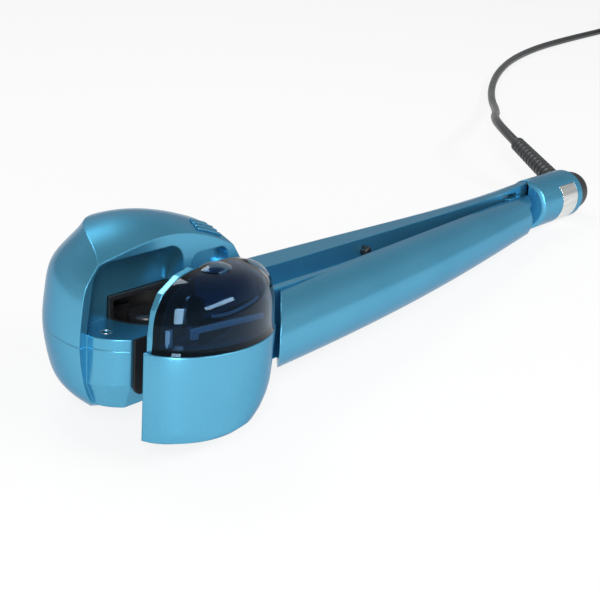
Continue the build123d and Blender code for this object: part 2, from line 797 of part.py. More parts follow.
def tank_form(inset):
    """The water tank: a dome of ellipses with two lobes along its top, cut flat at the back."""
    levels = [(TANK_LONG, TANK_BOTTOM + inset)]
    levels += [(radius, level - inset / 3) for radius, level in TANK_CURVE]
    levels += [(TANK_CROWN, TANK_TOP - inset)]
    with BuildPart() as form:
        for radius, level in levels:
            with BuildSketch(Plane.XY.offset(level)):
                with Locations((CLAMP_CENTRE, 0)):
                    Ellipse(radius - inset, (radius - inset) * CLAMP_DEEP / CLAMP_LONG)
        loft()
        for place, (long, deep), turn in zip(LOBES, LOBE_SIZES, LOBE_TURNS):
            with Locations(Pos(*place) * Rotation(0, turn, 0)):
                add(spheroid(long - inset, deep - inset))
        with Locations((0, -TANK_BACK - inset, 0)):
            Box(FAR, FAR, FAR, align=(Align.CENTER, Align.MIN, Align.CENTER), mode=Mode.SUBTRACT)
    return form.part


def gear(teeth, turn):
    """A spur gear's outline with slim straight-sided teeth."""
    root = GEAR_MODULE * (teeth / 2 - GEAR_DEDENDUM)
    tip = GEAR_MODULE * (teeth / 2 + GEAR_ADDENDUM)
    flank = [
        (root, -TOOTH_ROOT_SHARE),
        (tip, -TOOTH_TIP_SHARE),
        (tip, TOOTH_TIP_SHARE),
        (root, TOOTH_ROOT_SHARE),
    ]
    pitch = 2 * pi / teeth
    points = []
    for tooth in range(teeth):
        middle = radians(turn) + tooth * pitch
        for radius, share in flank:
            angle = middle + share * pitch
            points.append((radius * cos(angle), radius * sin(angle)))
    with BuildSketch() as outline:
        Polygon(*points, align=None)
    return outline.sketch


GEAR_REACH = GEAR_MODULE * (RING_TEETH + PINION_TEETH) / 2
PINION = (
    CHAMBER[0] + GEAR_REACH * cos(radians(PINION_DIRECTION)),
    CHAMBER[1] + GEAR_REACH * sin(radians(PINION_DIRECTION)),
)
GEAR_CASE_RADIUS = GEAR_MODULE * RING_TEETH / 2 + GEAR_CASE_ROOM
MAIN_WALL_FAR = FACE_GAP + WALL

# Main arm: upper housing
with BuildPart() as upper_housing:
    add(behind(drum(0), 0))
    add(jaw())
    add(main_handle(0, FACE_GAP))
    add(collar())
    add(behind(drum(WALL), COVE_DEPTH + WALL), mode=Mode.SUBTRACT)
    add(main_handle(WALL, MAIN_WALL_FAR), mode=Mode.SUBTRACT)
    add(screw_bosses())
    add(collar_hollow(), mode=Mode.SUBTRACT)
    add(inner_openings(), mode=Mode.SUBTRACT)
    add(cove(), mode=Mode.SUBTRACT)
    add(cylinder(*CHAMBER, 0, CHAMBER_ROOF + CHAMBER_WALL + FIT, CHAMBER_RADIUS + FIT), mode=Mode.SUBTRACT)
    with BuildSketch(Plane.XZ):
        with Locations(SCOOP_CENTRE):
            RectangleRounded(*SCOOP_SIZE, SCOOP_SIZE[1] / 2 - FIT)
    extrude(amount=-SCOOP_DEPTH, mode=Mode.SUBTRACT)
    steepness = (REAR_SLANT_TOP - REAR_SHOULDER) / (HEAD_REAR - REAR_SLANT_X)
    for vent in range(VENT_COUNT):
        x = VENT_FIRST_X + vent * VENT_PITCH / sqrt(1 + steepness**2)
        place = Pos(x, VENT_NEAR, REAR_SLANT_TOP - steepness * (x - REAR_SLANT_X))
        with Locations(place * Rotation(0, degrees(atan2(steepness, 1)), 0)):
            Box(
                VENT_WIDTH,
                VENT_LENGTH,
                2 * VENT_DEPTH,
                align=(Align.CENTER, Align.MIN, Align.CENTER),
                mode=Mode.SUBTRACT,
            )
    with Locations((*JAW_PIN_HOLE, JAW_TOP)):
        Cylinder(JAW_PIN_HOLE_RADIUS, 2 * JAW_PIN_HOLE_DEPTH, mode=Mode.SUBTRACT)
    add(parting_region(), mode=Mode.INTERSECT)
write(upper_housing.part, "upper_housing")

# Main arm: lower housing, with the motor's cradle, the core's boss and the flat that it stands on
with BuildPart() as lower_housing:
    add(behind(drum(0), 0))
    add(sole())
    add(jaw())
    add(main_handle(0, FACE_GAP))
    add(collar())
    add(behind(drum(WALL), WALL), mode=Mode.SUBTRACT)
    add(main_handle(WALL, MAIN_WALL_FAR), mode=Mode.SUBTRACT)
    add(screw_bosses())
    add(head_fittings())
    add(handle_fittings())
    add(collar_hollow(), mode=Mode.SUBTRACT)
    add(inner_openings(), mode=Mode.SUBTRACT)
    add(parting_region(), mode=Mode.SUBTRACT)
    with Locations(STAND.inverse()):
        Box(FAR, FAR, FAR, align=(Align.CENTER, Align.CENTER, Align.MAX), mode=Mode.SUBTRACT)
write(lower_housing.part, "lower_housing")

# Main arm: jaw liner, curl chamber, core and heater
with BuildPart() as jaw_liner:
    add(block((LINER_FRONT, -JAW_REACH - LINER_THICKNESS, -LINER_DEPTH), (LINER_REAR, -JAW_REACH, JAW_TOP)))
    fillet(jaw_liner.edges().filter_by(Axis.Y).group_by(Axis.Z)[0], LINER_ROUND)
write(jaw_liner.part, "jaw_liner")

with BuildPart() as curl_chamber:
    add(cylinder(*CHAMBER, CHAMBER_FLOOR - CHAMBER_WALL, CHAMBER_ROOF + CHAMBER_WALL, CHAMBER_RADIUS))
    add(cylinder(*CHAMBER, CHAMBER_FLOOR, CHAMBER_ROOF, CHAMBER_RADIUS - CHAMBER_WALL), mode=Mode.SUBTRACT)
    add(cylinder(*CHAMBER, -FAR, CHAMBER_FLOOR, HUB_RADIUS + FIT), mode=Mode.SUBTRACT)
    with Locations((0, CHAMBER_MOUTH, JAW_TOP)):
        Box(FAR, FAR, FAR, align=(Align.CENTER, Align.MAX, Align.MIN), mode=Mode.SUBTRACT)
write(curl_chamber.part, "curl_chamber")

with BuildPart() as curl_core:
    add(cylinder(*CHAMBER, POST_FOOT, CORE_FOOT, POST_RADIUS))
    add(cylinder(*CHAMBER, CORE_FOOT, CORE_TOP, CORE_RADIUS))
    fillet(curl_core.edges().group_by(Axis.Z)[-1], CORE_ROUND)
    add(cylinder(*CHAMBER, POST_FOOT, POST_FOOT + HEATER_LENGTH, HEATER_RADIUS), mode=Mode.SUBTRACT)
write(curl_core.part, "curl_core")

with BuildPart() as core_heater:
    add(cylinder(*CHAMBER, POST_FOOT, POST_FOOT + HEATER_LENGTH, HEATER_RADIUS))
write(core_heater.part, "core_heater")

# Main arm: winding rotor with its ring gear, pinion and motor
with BuildPart() as winding_rotor:
    add(cylinder(*CHAMBER, GEAR_FOOT, ROTOR_FLOOR + ROTOR_DISC, HUB_RADIUS))
    add(cylinder(*CHAMBER, ROTOR_FLOOR, ROTOR_FLOOR + ROTOR_DISC, ROTOR_RADIUS))
    with BuildSketch(Plane.XY.offset(GEAR_FOOT)):
        with Locations(CHAMBER):
            add(gear(RING_TEETH, PINION_DIRECTION))
    extrude(amount=GEAR_WIDTH)
    with BuildSketch(Plane.XY.offset(ROTOR_FLOOR)):
        with BuildLine():
            CenterArc(CHAMBER, ROTOR_RADIUS - HOOK_WIDTH / 2, HOOK_TURN - HOOK_ANGLE / 2, HOOK_ANGLE)
        trace(line_width=HOOK_WIDTH)
    extrude(amount=ROTOR_DISC + HOOK_HEIGHT)
    add(cylinder(*CHAMBER, -FAR, FAR, POST_RADIUS + RUNNING_FIT), mode=Mode.SUBTRACT)
write(winding_rotor.part, "winding_rotor")

with BuildPart() as motor_pinion:
    with BuildSketch(Plane.XY.offset(GEAR_FOOT)):
        with Locations(PINION):
            add(gear(PINION_TEETH, PINION_DIRECTION + 180 + 180 / PINION_TEETH))
    extrude(amount=GEAR_WIDTH)
    add(cylinder(*PINION, MOTOR_TOP - SHAFT_DEPTH, GEAR_TOP, SHAFT_RADIUS))
write(motor_pinion.part, "motor_pinion")

with BuildPart() as drive_motor:
    add(cylinder(*PINION, MOTOR_FOOT, MOTOR_TOP, MOTOR_RADIUS))
    fillet(drive_motor.edges().filter_by(GeomType.CIRCLE), MOTOR_ROUND)
    add(cylinder(*PINION, MOTOR_TOP, MOTOR_TOP + MOTOR_BOSS_HEIGHT, MOTOR_BOSS_RADIUS))
    add(cylinder(*PINION, MOTOR_TOP - SHAFT_DEPTH - FIT, FAR, SHAFT_RADIUS + RUNNING_FIT), mode=Mode.SUBTRACT)
write(drive_motor.part, "drive_motor")

# Main arm: start plunger and switch, slide switches, lens, board, band, hinge pin, spring and screws
with BuildPart() as start_plunger:
    plunger_near = FACE_GAP - PLUNGER_STANDOFF
    add(rod(*PLUNGER, plunger_near, plunger_near + PLUNGER_LENGTH, PLUNGER_RADIUS))
    fillet(start_plunger.edges().group_by(Axis.Y)[0], PLUNGER_ROUND)
    add(rod(*PLUNGER, MAIN_WALL_FAR + FIT, MAIN_WALL_FAR + FIT + PLUNGER_FLANGE_THICKNESS, PLUNGER_FLANGE))
write(start_plunger.part, "start_plunger")

with BuildPart() as start_switch:
    with Locations((PLUNGER[0], SWITCH_FACE, SWITCH_FOOT)):
        Box(*SWITCH_SIZE, align=(Align.CENTER, Align.MIN, Align.MIN))
write(start_switch.part, "start_switch")

for name, x in zip(SLIDER_NAMES, SLIDER_X):
    with BuildPart() as slider:
        with Locations((x, FACE_GAP + FIT, SLIDER_Z)):
            Box(SLIDER_KNOB[0], WALL + FIT, SLIDER_KNOB[1], align=(Align.CENTER, Align.MIN, Align.CENTER))
        with GridLocations(SLIDER_KNOB[0] / SLIDER_RIDGES, 1, SLIDER_RIDGES - 1, 1):
            with Locations((x, FACE_GAP + FIT, SLIDER_Z)):
                Box(SLIDER_GROOVE, 2 * SLIDER_GROOVE, SLIDER_KNOB[1], mode=Mode.SUBTRACT)
        with Locations((x, MAIN_WALL_FAR + FIT, SLIDER_Z)):
            Box(
                SLIDER_FLANGE[0],
                SLIDER_FLANGE_THICKNESS,
                SLIDER_FLANGE[1],
                align=(Align.CENTER, Align.MIN, Align.CENTER),
            )
    write(slider.part, name)

with BuildPart() as indicator_lens:
    add(rod(*LENS, FACE_GAP, MAIN_WALL_FAR + 1, LENS_RADIUS))
write(indicator_lens.part, "indicator_lens")

with BuildPart() as control_board:
    with Locations((BOARD_START, BOARD_Y, BOARD_FOOT)):
        Box(BOARD_LENGTH, BOARD_THICKNESS, BOARD_HEIGHT, align=(Align.MIN, Align.MIN, Align.MIN))
    for along, (length, depth, height) in zip(CHIP_PLACES, CHIP_SIZES):
        with Locations((BOARD_START + along, BOARD_Y + BOARD_THICKNESS, BOARD_FOOT + BOARD_HEIGHT / 2)):
            Box(length, depth, height, align=(Align.MIN, Align.MIN, Align.CENTER))
write(control_board.part, "control_board")

with BuildPart() as collar_band:
    add(band_ring(0))
write(collar_band.part, "collar_band")

with BuildPart() as hinge_pin:
    add(cylinder(*HINGE, PIN_BOTTOM, PIN_TOP, PIN_RADIUS))
write(hinge_pin.part, "hinge_pin")

spring_stations = []
for quarter in range(4 * SPRING_TURNS + 1):
    spring_foot = (*HINGE, SPRING_FOOT + quarter * SPRING_PITCH / 4)
    spring_stations.append(turn_station(spring_foot, 90 * quarter, SPRING_RADIUS, 0, SPRING_PITCH, 1))
with BuildPart() as return_spring:
    with BuildLine() as spring_path:
        wind(spring_stations)
    with BuildSketch(Plane(spring_path.line @ 0, z_dir=spring_path.line % 0)):
        Circle(SPRING_WIRE / 2)
    sweep(path=spring_path.line)
write(return_spring.part, "return_spring")

for count, (x, y) in enumerate(SCREW_PLACES, 1):
    with BuildPart() as housing_screw:
        add(cylinder(x, y, SCREW_SEAT_LEVEL, SCREW_TOP, SCREW_RADIUS))
        add(cylinder(x, y, SCREW_SEAT_LEVEL - SCREW_HEAD, SCREW_SEAT_LEVEL, SCREW_HEAD_RADIUS))
    write(housing_screw.part, f"housing_screw_{count}")

# Clamp arm: head shell with the deck that the tank stands on
with BuildPart() as clamp_head:
    add(clamp_body(0, CLAMP_BOTTOM, DECK_TOP))
    add(clamp_body(CLAMP_WALL, CLAMP_BOTTOM + CLAMP_FLOOR, DECK_BOTTOM), mode=Mode.SUBTRACT)
    with Locations((0, -SPINE_NEAR, 0)):
        Box(FAR, FAR, FAR, align=(Align.CENTER, Align.MIN, Align.CENTER), mode=Mode.SUBTRACT)
write(clamp_head.part, "clamp_head", OPENED)

# Clamp arm: spine, with the rim round the tank, the bar behind it and the hinge lugs
with BuildPart() as clamp_spine:
    with BuildSketch(Plane.XZ.offset(SPINE_NEAR)):
        with BuildLine():
            Polyline(
                (RIM_CURVE[0][0], DECK_TOP),
                *RIM_CURVE,
                *[(x + RIM_WIDTH, z - RIM_WIDTH) for x, z in reversed(RIM_CURVE)],
                (RIM_CURVE[0][0] + RIM_WIDTH, RAIL_TOP),
                (BAR_FRONT, RAIL_TOP),
                (BAR_FRONT, BAR_TOP),
                (SPINE_HEAD_END, BAR_TOP),
                *[(x, top - SPINE_NEAR) for x, top, bottom, depth, middle in CLAMP_SECTIONS[1:]],
                *[(x, bottom + SPINE_NEAR) for x, top, bottom, depth, middle in reversed(CLAMP_SECTIONS[1:])],
                (SPINE_HANDLE_START, CLAMP_SECTIONS[0][2] + SPINE_NEAR),
                (SPINE_HANDLE_START, DECK_TOP),
                close=True,
            )
        make_face()
    extrude(amount=SPINE_THICKNESS)
    with Locations((HINGE[0] - CLAMP_TAIL_RADIUS / 2, -TAIL_RELIEF, 0)):
        Box(FAR, FAR, FAR, align=(Align.MIN, Align.MIN, Align.CENTER), mode=Mode.SUBTRACT)
    for level in LUG_LEVELS:
        with BuildSketch(Plane.XY.offset(level)):
            with Locations(HINGE):
                Circle(LUG_RADIUS)
                Rectangle(2 * LUG_RADIUS, HINGE[1] + SPINE_FAR, align=(Align.CENTER, Align.MAX))
        extrude(amount=LUG_HEIGHT)
    add(tail_plan(CLAMP_TAIL_RADIUS), mode=Mode.INTERSECT)
    add(cylinder(*HINGE, -FAR, FAR, PIN_RADIUS + RUNNING_FIT), mode=Mode.SUBTRACT)
    add(rod(*NOZZLE, -SPINE_FAR, 0, NOZZLE_RADIUS), mode=Mode.SUBTRACT)
    for x in CLAMP_SCREW_X:
        add(rod(x, CLAMP_SCREW_Z, -SPINE_FAR, 0, SCREW_RADIUS), mode=Mode.SUBTRACT)
        add(rod(x, CLAMP_SCREW_Z, -SPINE_NEAR - CLAMP_SCREW_HEAD, 0, SCREW_HEAD_RADIUS), mode=Mode.SUBTRACT)
write(clamp_spine.part, "clamp_spine", OPENED)

# Clamp arm: handle shell
with BuildPart() as clamp_handle_shell:
    add(clamp_handle(0, SPINE_FAR))
    add(tail_plan(CLAMP_TAIL_RADIUS), mode=Mode.INTERSECT)
    add(nose_region(0), mode=Mode.SUBTRACT)
    add(handle_hollow(), mode=Mode.SUBTRACT)
    for x in CLAMP_SCREW_X:
        add(rod(x, CLAMP_SCREW_Z, -CLAMP_SCREW_DEPTH, 0, SCREW_RADIUS), mode=Mode.SUBTRACT)
write(clamp_handle_shell.part, "clamp_handle", OPENED)

# Clamp arm: closing pad, steam nozzle and screws
with BuildPart() as closing_pad:
    add(block((PAD_FRONT, -SPINE_NEAR, PAD_BOTTOM), (PAD_REAR, PAD_REACH, PAD_TOP)))
    fillet(closing_pad.edges().group_by(Axis.Y)[-1], PAD_ROUND)
    add(rod(*NOZZLE, -SPINE_NEAR, NOZZLE_TIP, NOZZLE_RADIUS), mode=Mode.SUBTRACT)
write(closing_pad.part, "closing_pad", OPENED)

with BuildPart() as steam_nozzle:
    add(rod(*NOZZLE, -SPINE_FAR, NOZZLE_TIP, NOZZLE_RADIUS))
write(steam_nozzle.part, "steam_nozzle", OPENED)

for count, x in enumerate(CLAMP_SCREW_X, 1):
    with BuildPart() as clamp_screw:
        add(rod(x, CLAMP_SCREW_Z, -CLAMP_SCREW_DEPTH, -SPINE_NEAR, SCREW_RADIUS))
        add(rod(x, CLAMP_SCREW_Z, -SPINE_NEAR - CLAMP_SCREW_HEAD, -SPINE_NEAR, SCREW_HEAD_RADIUS))
    write(clamp_screw.part, f"clamp_screw_{count}", OPENED)

# Water tank: body, stopper and valve
with BuildPart() as tank_body:
    add(tank_form(0))
    add(tank_form(TANK_WALL), mode=Mode.SUBTRACT)
    add(rod(*STOPPER, -TANK_BACK - STOPPER_DEPTH, -TANK_BACK, STOPPER_RADIUS), mode=Mode.SUBTRACT)
    add(rod(*VALVE, -TANK_BACK - VALVE_LENGTH, -TANK_BACK, VALVE_RADIUS), mode=Mode.SUBTRACT)
write(tank_body.part, "tank_body", OPENED)

with BuildPart() as tank_stopper:
    add(rod(*STOPPER, -TANK_BACK - STOPPER_DEPTH, -TANK_BACK, STOPPER_RADIUS))
write(tank_stopper.part, "tank_stopper", OPENED)

with BuildPart() as tank_valve:
    add(rod(*VALVE, -TANK_BACK - VALVE_LENGTH, -TANK_BACK, VALVE_RADIUS))
write(tank_valve.part, "tank_valve", OPENED)

# Swivel cord: cap with its elbow, and the ribbed strain relief
RELIEF_PLANE = Plane(RELIEF_ROOT, z_dir=RELIEF_DIRECTION)
with BuildPart() as swivel_cap:
    with BuildSketch(Plane.YZ.offset(COLLAR_END + SWIVEL_GAP)):
        Circle(CAP_RADIUS)
    extrude(amount=CAP_LENGTH)
    fillet(swivel_cap.edges().group_by(Axis.X)[-1], CAP_ROUND)
    with BuildSketch(RELIEF_PLANE):
        Circle(ELBOW_RADIUS)
    extrude(amount=RELIEF_START)
    with BuildSketch(Plane.YZ.offset(COLLAR_END + SWIVEL_GAP)):
        Circle(STEM_RADIUS)
    extrude(amount=-(SWIVEL_GAP + END_WALL + SWIVEL_GAP))
    with BuildSketch(Plane.YZ.offset(COLLAR_END - END_WALL - SWIVEL_GAP)):
        Circle(STEM_FLANGE_RADIUS)
    extrude(amount=-STEM_FLANGE)
write(swivel_cap.part, "swivel_cap")

with BuildPart() as strain_relief:
    for rib in range(RIB_COUNT):
        start = RELIEF_START + rib * RIB_PITCH
        crest = RELIEF_ROOT_RADIUS + (RELIEF_TIP_RADIUS - RELIEF_ROOT_RADIUS) * rib / (RIB_COUNT - 1)
        waist = crest - RIB_HEIGHT
        stops = [(0, crest), (RIB_LAND, crest), (RIB_LAND + RIB_EDGE, waist), (RIB_PITCH - RIB_EDGE, waist)]
        for along, radius in stops:
            with BuildSketch(RELIEF_PLANE.offset(start + along)):
                Circle(radius)
    loft(ruled=True)
write(strain_relief.part, "strain_relief")

# Swivel cord: the stretch that lies free
RELIEF_END = RELIEF_START + RIB_COUNT * RIB_PITCH - RIB_EDGE
cord_points = []
for along in (RELIEF_END, RELIEF_END + EXIT_STRAIGHT):
    exit_point = STAND * Pos(*(Vector(*RELIEF_ROOT) + Vector(*RELIEF_DIRECTION).normalized() * along))
    cord_points.append(tuple(exit_point.position))
cord_points += [*CORD_ROUTE, (*COIL_START, CORD_LEVEL)]
with BuildLine() as free_path:
    FilletPolyline(*cord_points, radius=bend_radii(cord_points))
write(cord_along(free_path.wire()), "power_cord", Location())

# Swivel cord: the coil, four flat layers wound in and out, one on the other
coil_stations = []
for quarter in range(round(4 * COIL_END_TURN) + 1):
    turns = quarter / 4
    layer = min(int(turns / COIL_LAYER_TURNS), COIL_LAYERS - 1)
    within = turns - layer * COIL_LAYER_TURNS
    inward = layer % 2 == 0
    depth = within if inward else COIL_LAYER_TURNS - within
    reversing = layer > 0 and within == 0
    climb = -0.5 if reversing else 0
    centre = (COIL_START[0], COIL_START[1] - COIL_OUTER_RADIUS, CORD_LEVEL + (layer + climb) * LAYER_PITCH)
    radial_rise = 0 if reversing else COIL_PITCH * (-1 if inward else 1)
    level_rise = 3 * LAYER_PITCH if reversing else 0
    radius = COIL_OUTER_RADIUS - depth * COIL_PITCH
    coil_stations.append(turn_station(centre, 90 - 90 * quarter, radius, radial_rise, level_rise, -1))
with BuildLine() as coil_path:
    wind(coil_stations)
write(cord_along(coil_path.wire()), "cord_coil", Location())

# Swivel cord: the lead from the coil to the plug
coil_end, coil_course = coil_stations[-1]
lead_points = [tuple(coil_end), tuple(coil_end + coil_course * LEAD_STRAIGHT), *LEAD_ROUTE]
with BuildLine() as lead_path:
    FilletPolyline(*lead_points, radius=bend_radii(lead_points))
write(cord_along(lead_path.wire()), "plug_lead", Location())

# Plug
PLUG_REAR = LEAD_ROUTE[-1]
with BuildPart() as plug_body:
    with Locations((PLUG_REAR[0], PLUG_REAR[1] - PLUG_NECK_LENGTH, PLUG_REAR[2])):
        Box(*PLUG_SIZE, align=(Align.CENTER, Align.MAX, Align.CENTER))
    fillet(plug_body.edges().filter_by(Axis.Y), PLUG_ROUND)
    with BuildSketch(Plane.XZ.offset(-PLUG_REAR[1])):
        with Locations((PLUG_REAR[0], PLUG_REAR[2])):
            Circle(PLUG_NECK_RADIUS)
    extrude(amount=PLUG_NECK_LENGTH)
write(plug_body.part, "plug_body", Location())

PLUG_FRONT = PLUG_REAR[1] - PLUG_NECK_LENGTH - PLUG_SIZE[1]
for side in (-1, 1):
    with BuildPart() as plug_blade:
        with Locations((PLUG_REAR[0] + side * BLADE_SPACING / 2, PLUG_FRONT, PLUG_REAR[2])):
            Box(*BLADE_SIZE, align=(Align.CENTER, Align.MAX, Align.CENTER))
    write(plug_blade.part, "plug_blade_left" if side < 0 else "plug_blade_right", Location())

# The coil's least gap to itself, and the cord's length
WATCH_STEP = 2.4
watch_count = ceil(coil_path.wire().length / WATCH_STEP)
watched = [coil_path.wire() @ (i / watch_count) for i in range(watch_count)]
least = min(
    (a - b).length
    for i, a in enumerate(watched)
    for b in watched[i + round(2 * pi * CORD_DIAMETER / WATCH_STEP):]
)
print("coil: least gap to itself", round(least - CORD_DIAMETER, 2), "mm")
print("bends, mm:", [round(radius, 1) for radius in bend_radii(cord_points) + bend_radii(lead_points)])
lengths = [path.wire().length for path in (free_path, coil_path, lead_path)]
print("cord length", round(sum(lengths)), "mm, of which coiled", round(lengths[1]))
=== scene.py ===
"""Automatic steam curling machine on a pale floor, seen as in the photograph. Metres."""
import json
import math

import bpy
from mathutils import Matrix, Vector


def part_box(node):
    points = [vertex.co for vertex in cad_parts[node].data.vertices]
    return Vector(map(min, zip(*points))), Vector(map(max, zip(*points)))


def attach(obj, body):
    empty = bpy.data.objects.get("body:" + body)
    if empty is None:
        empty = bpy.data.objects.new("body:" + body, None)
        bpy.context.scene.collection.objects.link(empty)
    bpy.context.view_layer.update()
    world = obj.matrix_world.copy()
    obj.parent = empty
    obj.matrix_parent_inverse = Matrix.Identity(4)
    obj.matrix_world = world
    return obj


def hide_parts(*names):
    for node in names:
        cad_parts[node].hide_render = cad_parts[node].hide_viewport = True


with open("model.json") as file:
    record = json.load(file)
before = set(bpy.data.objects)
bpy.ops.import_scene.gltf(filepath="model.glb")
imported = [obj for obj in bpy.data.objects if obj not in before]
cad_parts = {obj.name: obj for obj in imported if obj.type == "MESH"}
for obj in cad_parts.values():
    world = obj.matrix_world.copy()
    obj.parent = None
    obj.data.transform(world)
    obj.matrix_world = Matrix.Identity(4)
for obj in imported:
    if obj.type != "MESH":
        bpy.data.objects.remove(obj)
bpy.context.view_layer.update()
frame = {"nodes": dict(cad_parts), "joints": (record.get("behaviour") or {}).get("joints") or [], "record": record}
nodes = frame["nodes"]
joints = {joint["name"]: joint for joint in frame["joints"]}

# The camera, fitted to the photograph: its place, its right and up directions, and its lens in millimetres
CAMERA_PLACE = (-0.28511, -0.27272, 0.17793)
CAMERA_RIGHT = Vector((0.61763, -0.78627, 0.01771))
CAMERA_UP = Vector((0.27141, 0.23422, 0.93353))
CAMERA_LENS = 81.55
CAMERA_SENSOR = 36.0
CAMERA_NEAR = 0.01

# The machine's own frame, as in the part's source: X along the handle, Z up the drum axis, zero where the
# housings part. The scene's zero is the middle of the sole that it rests on
REST_X = 0.009
REST_Y = 0.011
REST_DEPTH = 0.0255
ALONG = Vector(joints["cord_turn"]["axis"])
UPRIGHT = Vector(joints["clamp_close"]["axis"])
DEVICE = Matrix((ALONG, UPRIGHT.cross(ALONG), UPRIGHT)).transposed().to_4x4() @ Matrix.Translation(
    (-REST_X, -REST_Y, REST_DEPTH)
)
# The clamp arm's own frame: as drawn closed, swung open about the hinge
HINGE = Vector((0.2000, 0.0034, 0.0))
OPEN_ANGLE = math.radians(5.5)
SWING = Matrix.Translation(HINGE) @ Matrix.Rotation(OPEN_ANGLE, 4, "Z") @ Matrix.Translation(-HINGE)
CLAMP = DEVICE @ SWING

# Cord: its route, repeated from the part's source
CORD_DIAMETER = 0.0044
CORD_LEVEL = 0.0023
RELIEF_ROOT = Vector((0.2523, 0.002, 0.0))
RELIEF_DIRECTION = Vector((0.5436, 0.8101, 0.2198)).normalized()
RELIEF_END = 0.0497
EXIT_STRAIGHT = 0.018
CORD_ROUTE = [
    (0.3127, 0.0675, 0.0186),
    (0.3580, 0.0918, 0.0096),
    (0.4059, 0.1232, 0.0036),
    (0.4452, 0.1462, 0.0023),
    (0.4864, 0.1657, 0.0023),
    (0.5317, 0.1813, 0.0023),
    (0.5797, 0.1894, 0.0023),
    (0.6258, 0.1899, 0.0023),
    (0.6794, 0.1872, 0.0023),
]
COIL_START = (0.7162, 0.1863)
COIL_OUTER_RADIUS = 0.0339
COIL_PITCH = 0.0050
COIL_LAYER_TURNS = 3
COIL_LAYERS = 4
COIL_END_TURN = 12.25
LAYER_PITCH = 0.00495
COIL_RISE_TURNS = 0.5
POINTS_PER_TURN = 16
CORD_STEPS = 6
CORD_ROUNDNESS = 4
LEAD_ROUTE = [(0.7518, 0.1241, 0.0136), (0.7507, 0.1061, 0.0080), (0.7507, 0.0901, 0.0080)]

# Modelled pieces: edges shallower than this shade smooth, and a face whose normal has this much of a
# direction in it faces that way
SMOOTH_ANGLE = math.radians(32)
FACING = 0.9
ROUND_VERTICES = 128
# The fine rounding of cut rims
RIM_ROUND = 0.0002
RIM_SEGMENTS = 2
RIM_ANGLE = math.radians(60)

# The clamp head's bowl, in the clamp arm's frame: its front, back, wall and bottom edge,
# and the height, rear and depth of each level
CLAMP_FRONT = -0.0400
CLAMP_BACK = 0.0003
CLAMP_SKIN = 0.0007
CLAMP_ROUND = 0.0011
CLAMP_EDGE = math.radians(35)
CLAMP_LEVELS = [
    (0.0046, 0.0118, 0.0193),
    (-0.0030, 0.0114, 0.0191),
    (-0.0085, 0.0109, 0.0190),
    (-0.0115, 0.0103, 0.0189),
    (-0.0140, 0.0089, 0.0188),
    (-0.0170, 0.0061, 0.0186),
    (-0.0192, 0.0028, 0.0182),
    (-0.0205, 0.0002, 0.0168),
    (-0.0210, -0.0030, 0.0140),
]

# Inside the tank, in the clamp arm's frame; the pale colour of these pieces is a painted highlight for the light
# caught along their edges
BAFFLE_ENDS = [(-0.0272, -0.0062), (-0.0020, -0.0128)]
BAFFLE_HEIGHT = 0.0088
BAFFLE_THICKNESS = 0.0010
BAFFLE_DEPTH = 0.0016
BAFFLE_FOOT = 0.0026
BAFFLE_FLOOR = 0.0066
BAFFLE_ROUND = 0.0003
FRONT_RIB_PLACE = (-0.0358, -0.0056, 0.0090)
FRONT_RIB_SIZE = (0.0022, 0.0008, 0.0050)
FRONT_RIB_MARGIN = 0.0004
FRONT_RIB_STEP = 0.0003
ARC_MIDDLE = (-0.0032, -0.0047, 0.0665)
ARC_RADIUS = 0.0580
ARC_ANGLE = math.radians(24)
ARC_WIDTH = 0.0008
ARC_STEPS = 24
ARC_EDGE = math.radians(40)

# The eyelet in the jaw, in the machine's frame
EYELET_PLACE = (-0.0315, -0.0018, 0.0033)
EYELET_RADIUS = 0.0016
EYELET_HEIGHT = 0.0005
EYELET_RIM = 0.0006
EYELET_ROUND = 0.00018
EYELET_VERTICES = 48

# The lip in front of the collar, in the machine's frame
LIP_FRONT = 0.2128
LIP_REAR = 0.2168
LIP_RADIUS = 0.0103
LIP_TAPER = 0.0016
LIP_CROWN = 0.0006
LIP_ROUND = 0.0006
LIP_EDGE = math.radians(20)

# The coil's tie and the plug's finger ribs
TIE_REACH = 0.0264
TIE_SPAN = 0.0196
TIE_WIDTH = 0.0090
TIE_TOP = 0.0200
TIE_THICKNESS = 0.0006
TIE_CORNER = 0.0035
PLUG_RIBS = 3
PLUG_RIB_START = -0.0020
PLUG_RIB_PITCH = 0.0034
PLUG_RIB_SIZE = (0.0130, 0.0014, 0.0006)
PLUG_RIB_CREST = 0.0005
PLUG_RIB_NARROWING = (0.94, 0.5, 1)

# The vent slats on the head's crown, in the scene's frame: the start and place across of each,
# where they all end, the height they are dropped from, and their section
LOUVRE_ROWS = [(0.0070, -0.0036), (0.0058, -0.0053), (0.0050, -0.0070), (0.0043, -0.0087)]
LOUVRE_END = 0.0146
LOUVRE_ABOVE = 0.0550
LOUVRE_WIDTH = 0.0009
LOUVRE_HEIGHT = 0.0006
LOUVRE_CUTS = 14

# The floor's size and greys, and how much of it is seen as plain white
FLOOR_SIZE = 30
FLOOR_GREYS = ("#E2E2E2", "#E6E6E6")
FLOOR_GLOW = 0.84
# The sines of the angles at which the studio's pale walls end and its ceiling begins, and their greys
WALL_HEIGHT = 0.34
CEILING_HEIGHT = 0.62
WALL_GREY = "#BEBEBE"
CEILING_GREY = "#8C8C8C"
# Soft lamps: place, width and height in metres, power in watts
LIGHT_AIM = Vector((0.06, 0.0, 0.02))
LAMPS = {
    "key_light": ((-0.60, -0.50, 0.40), (0.22, 0.60), 7.4),
    "side_light": ((0.25, -0.80, 0.60), (0.70, 0.16), 5.2),
    "back_light": ((0.30, 0.55, 0.80), (0.40, 0.40), 3.0),
}


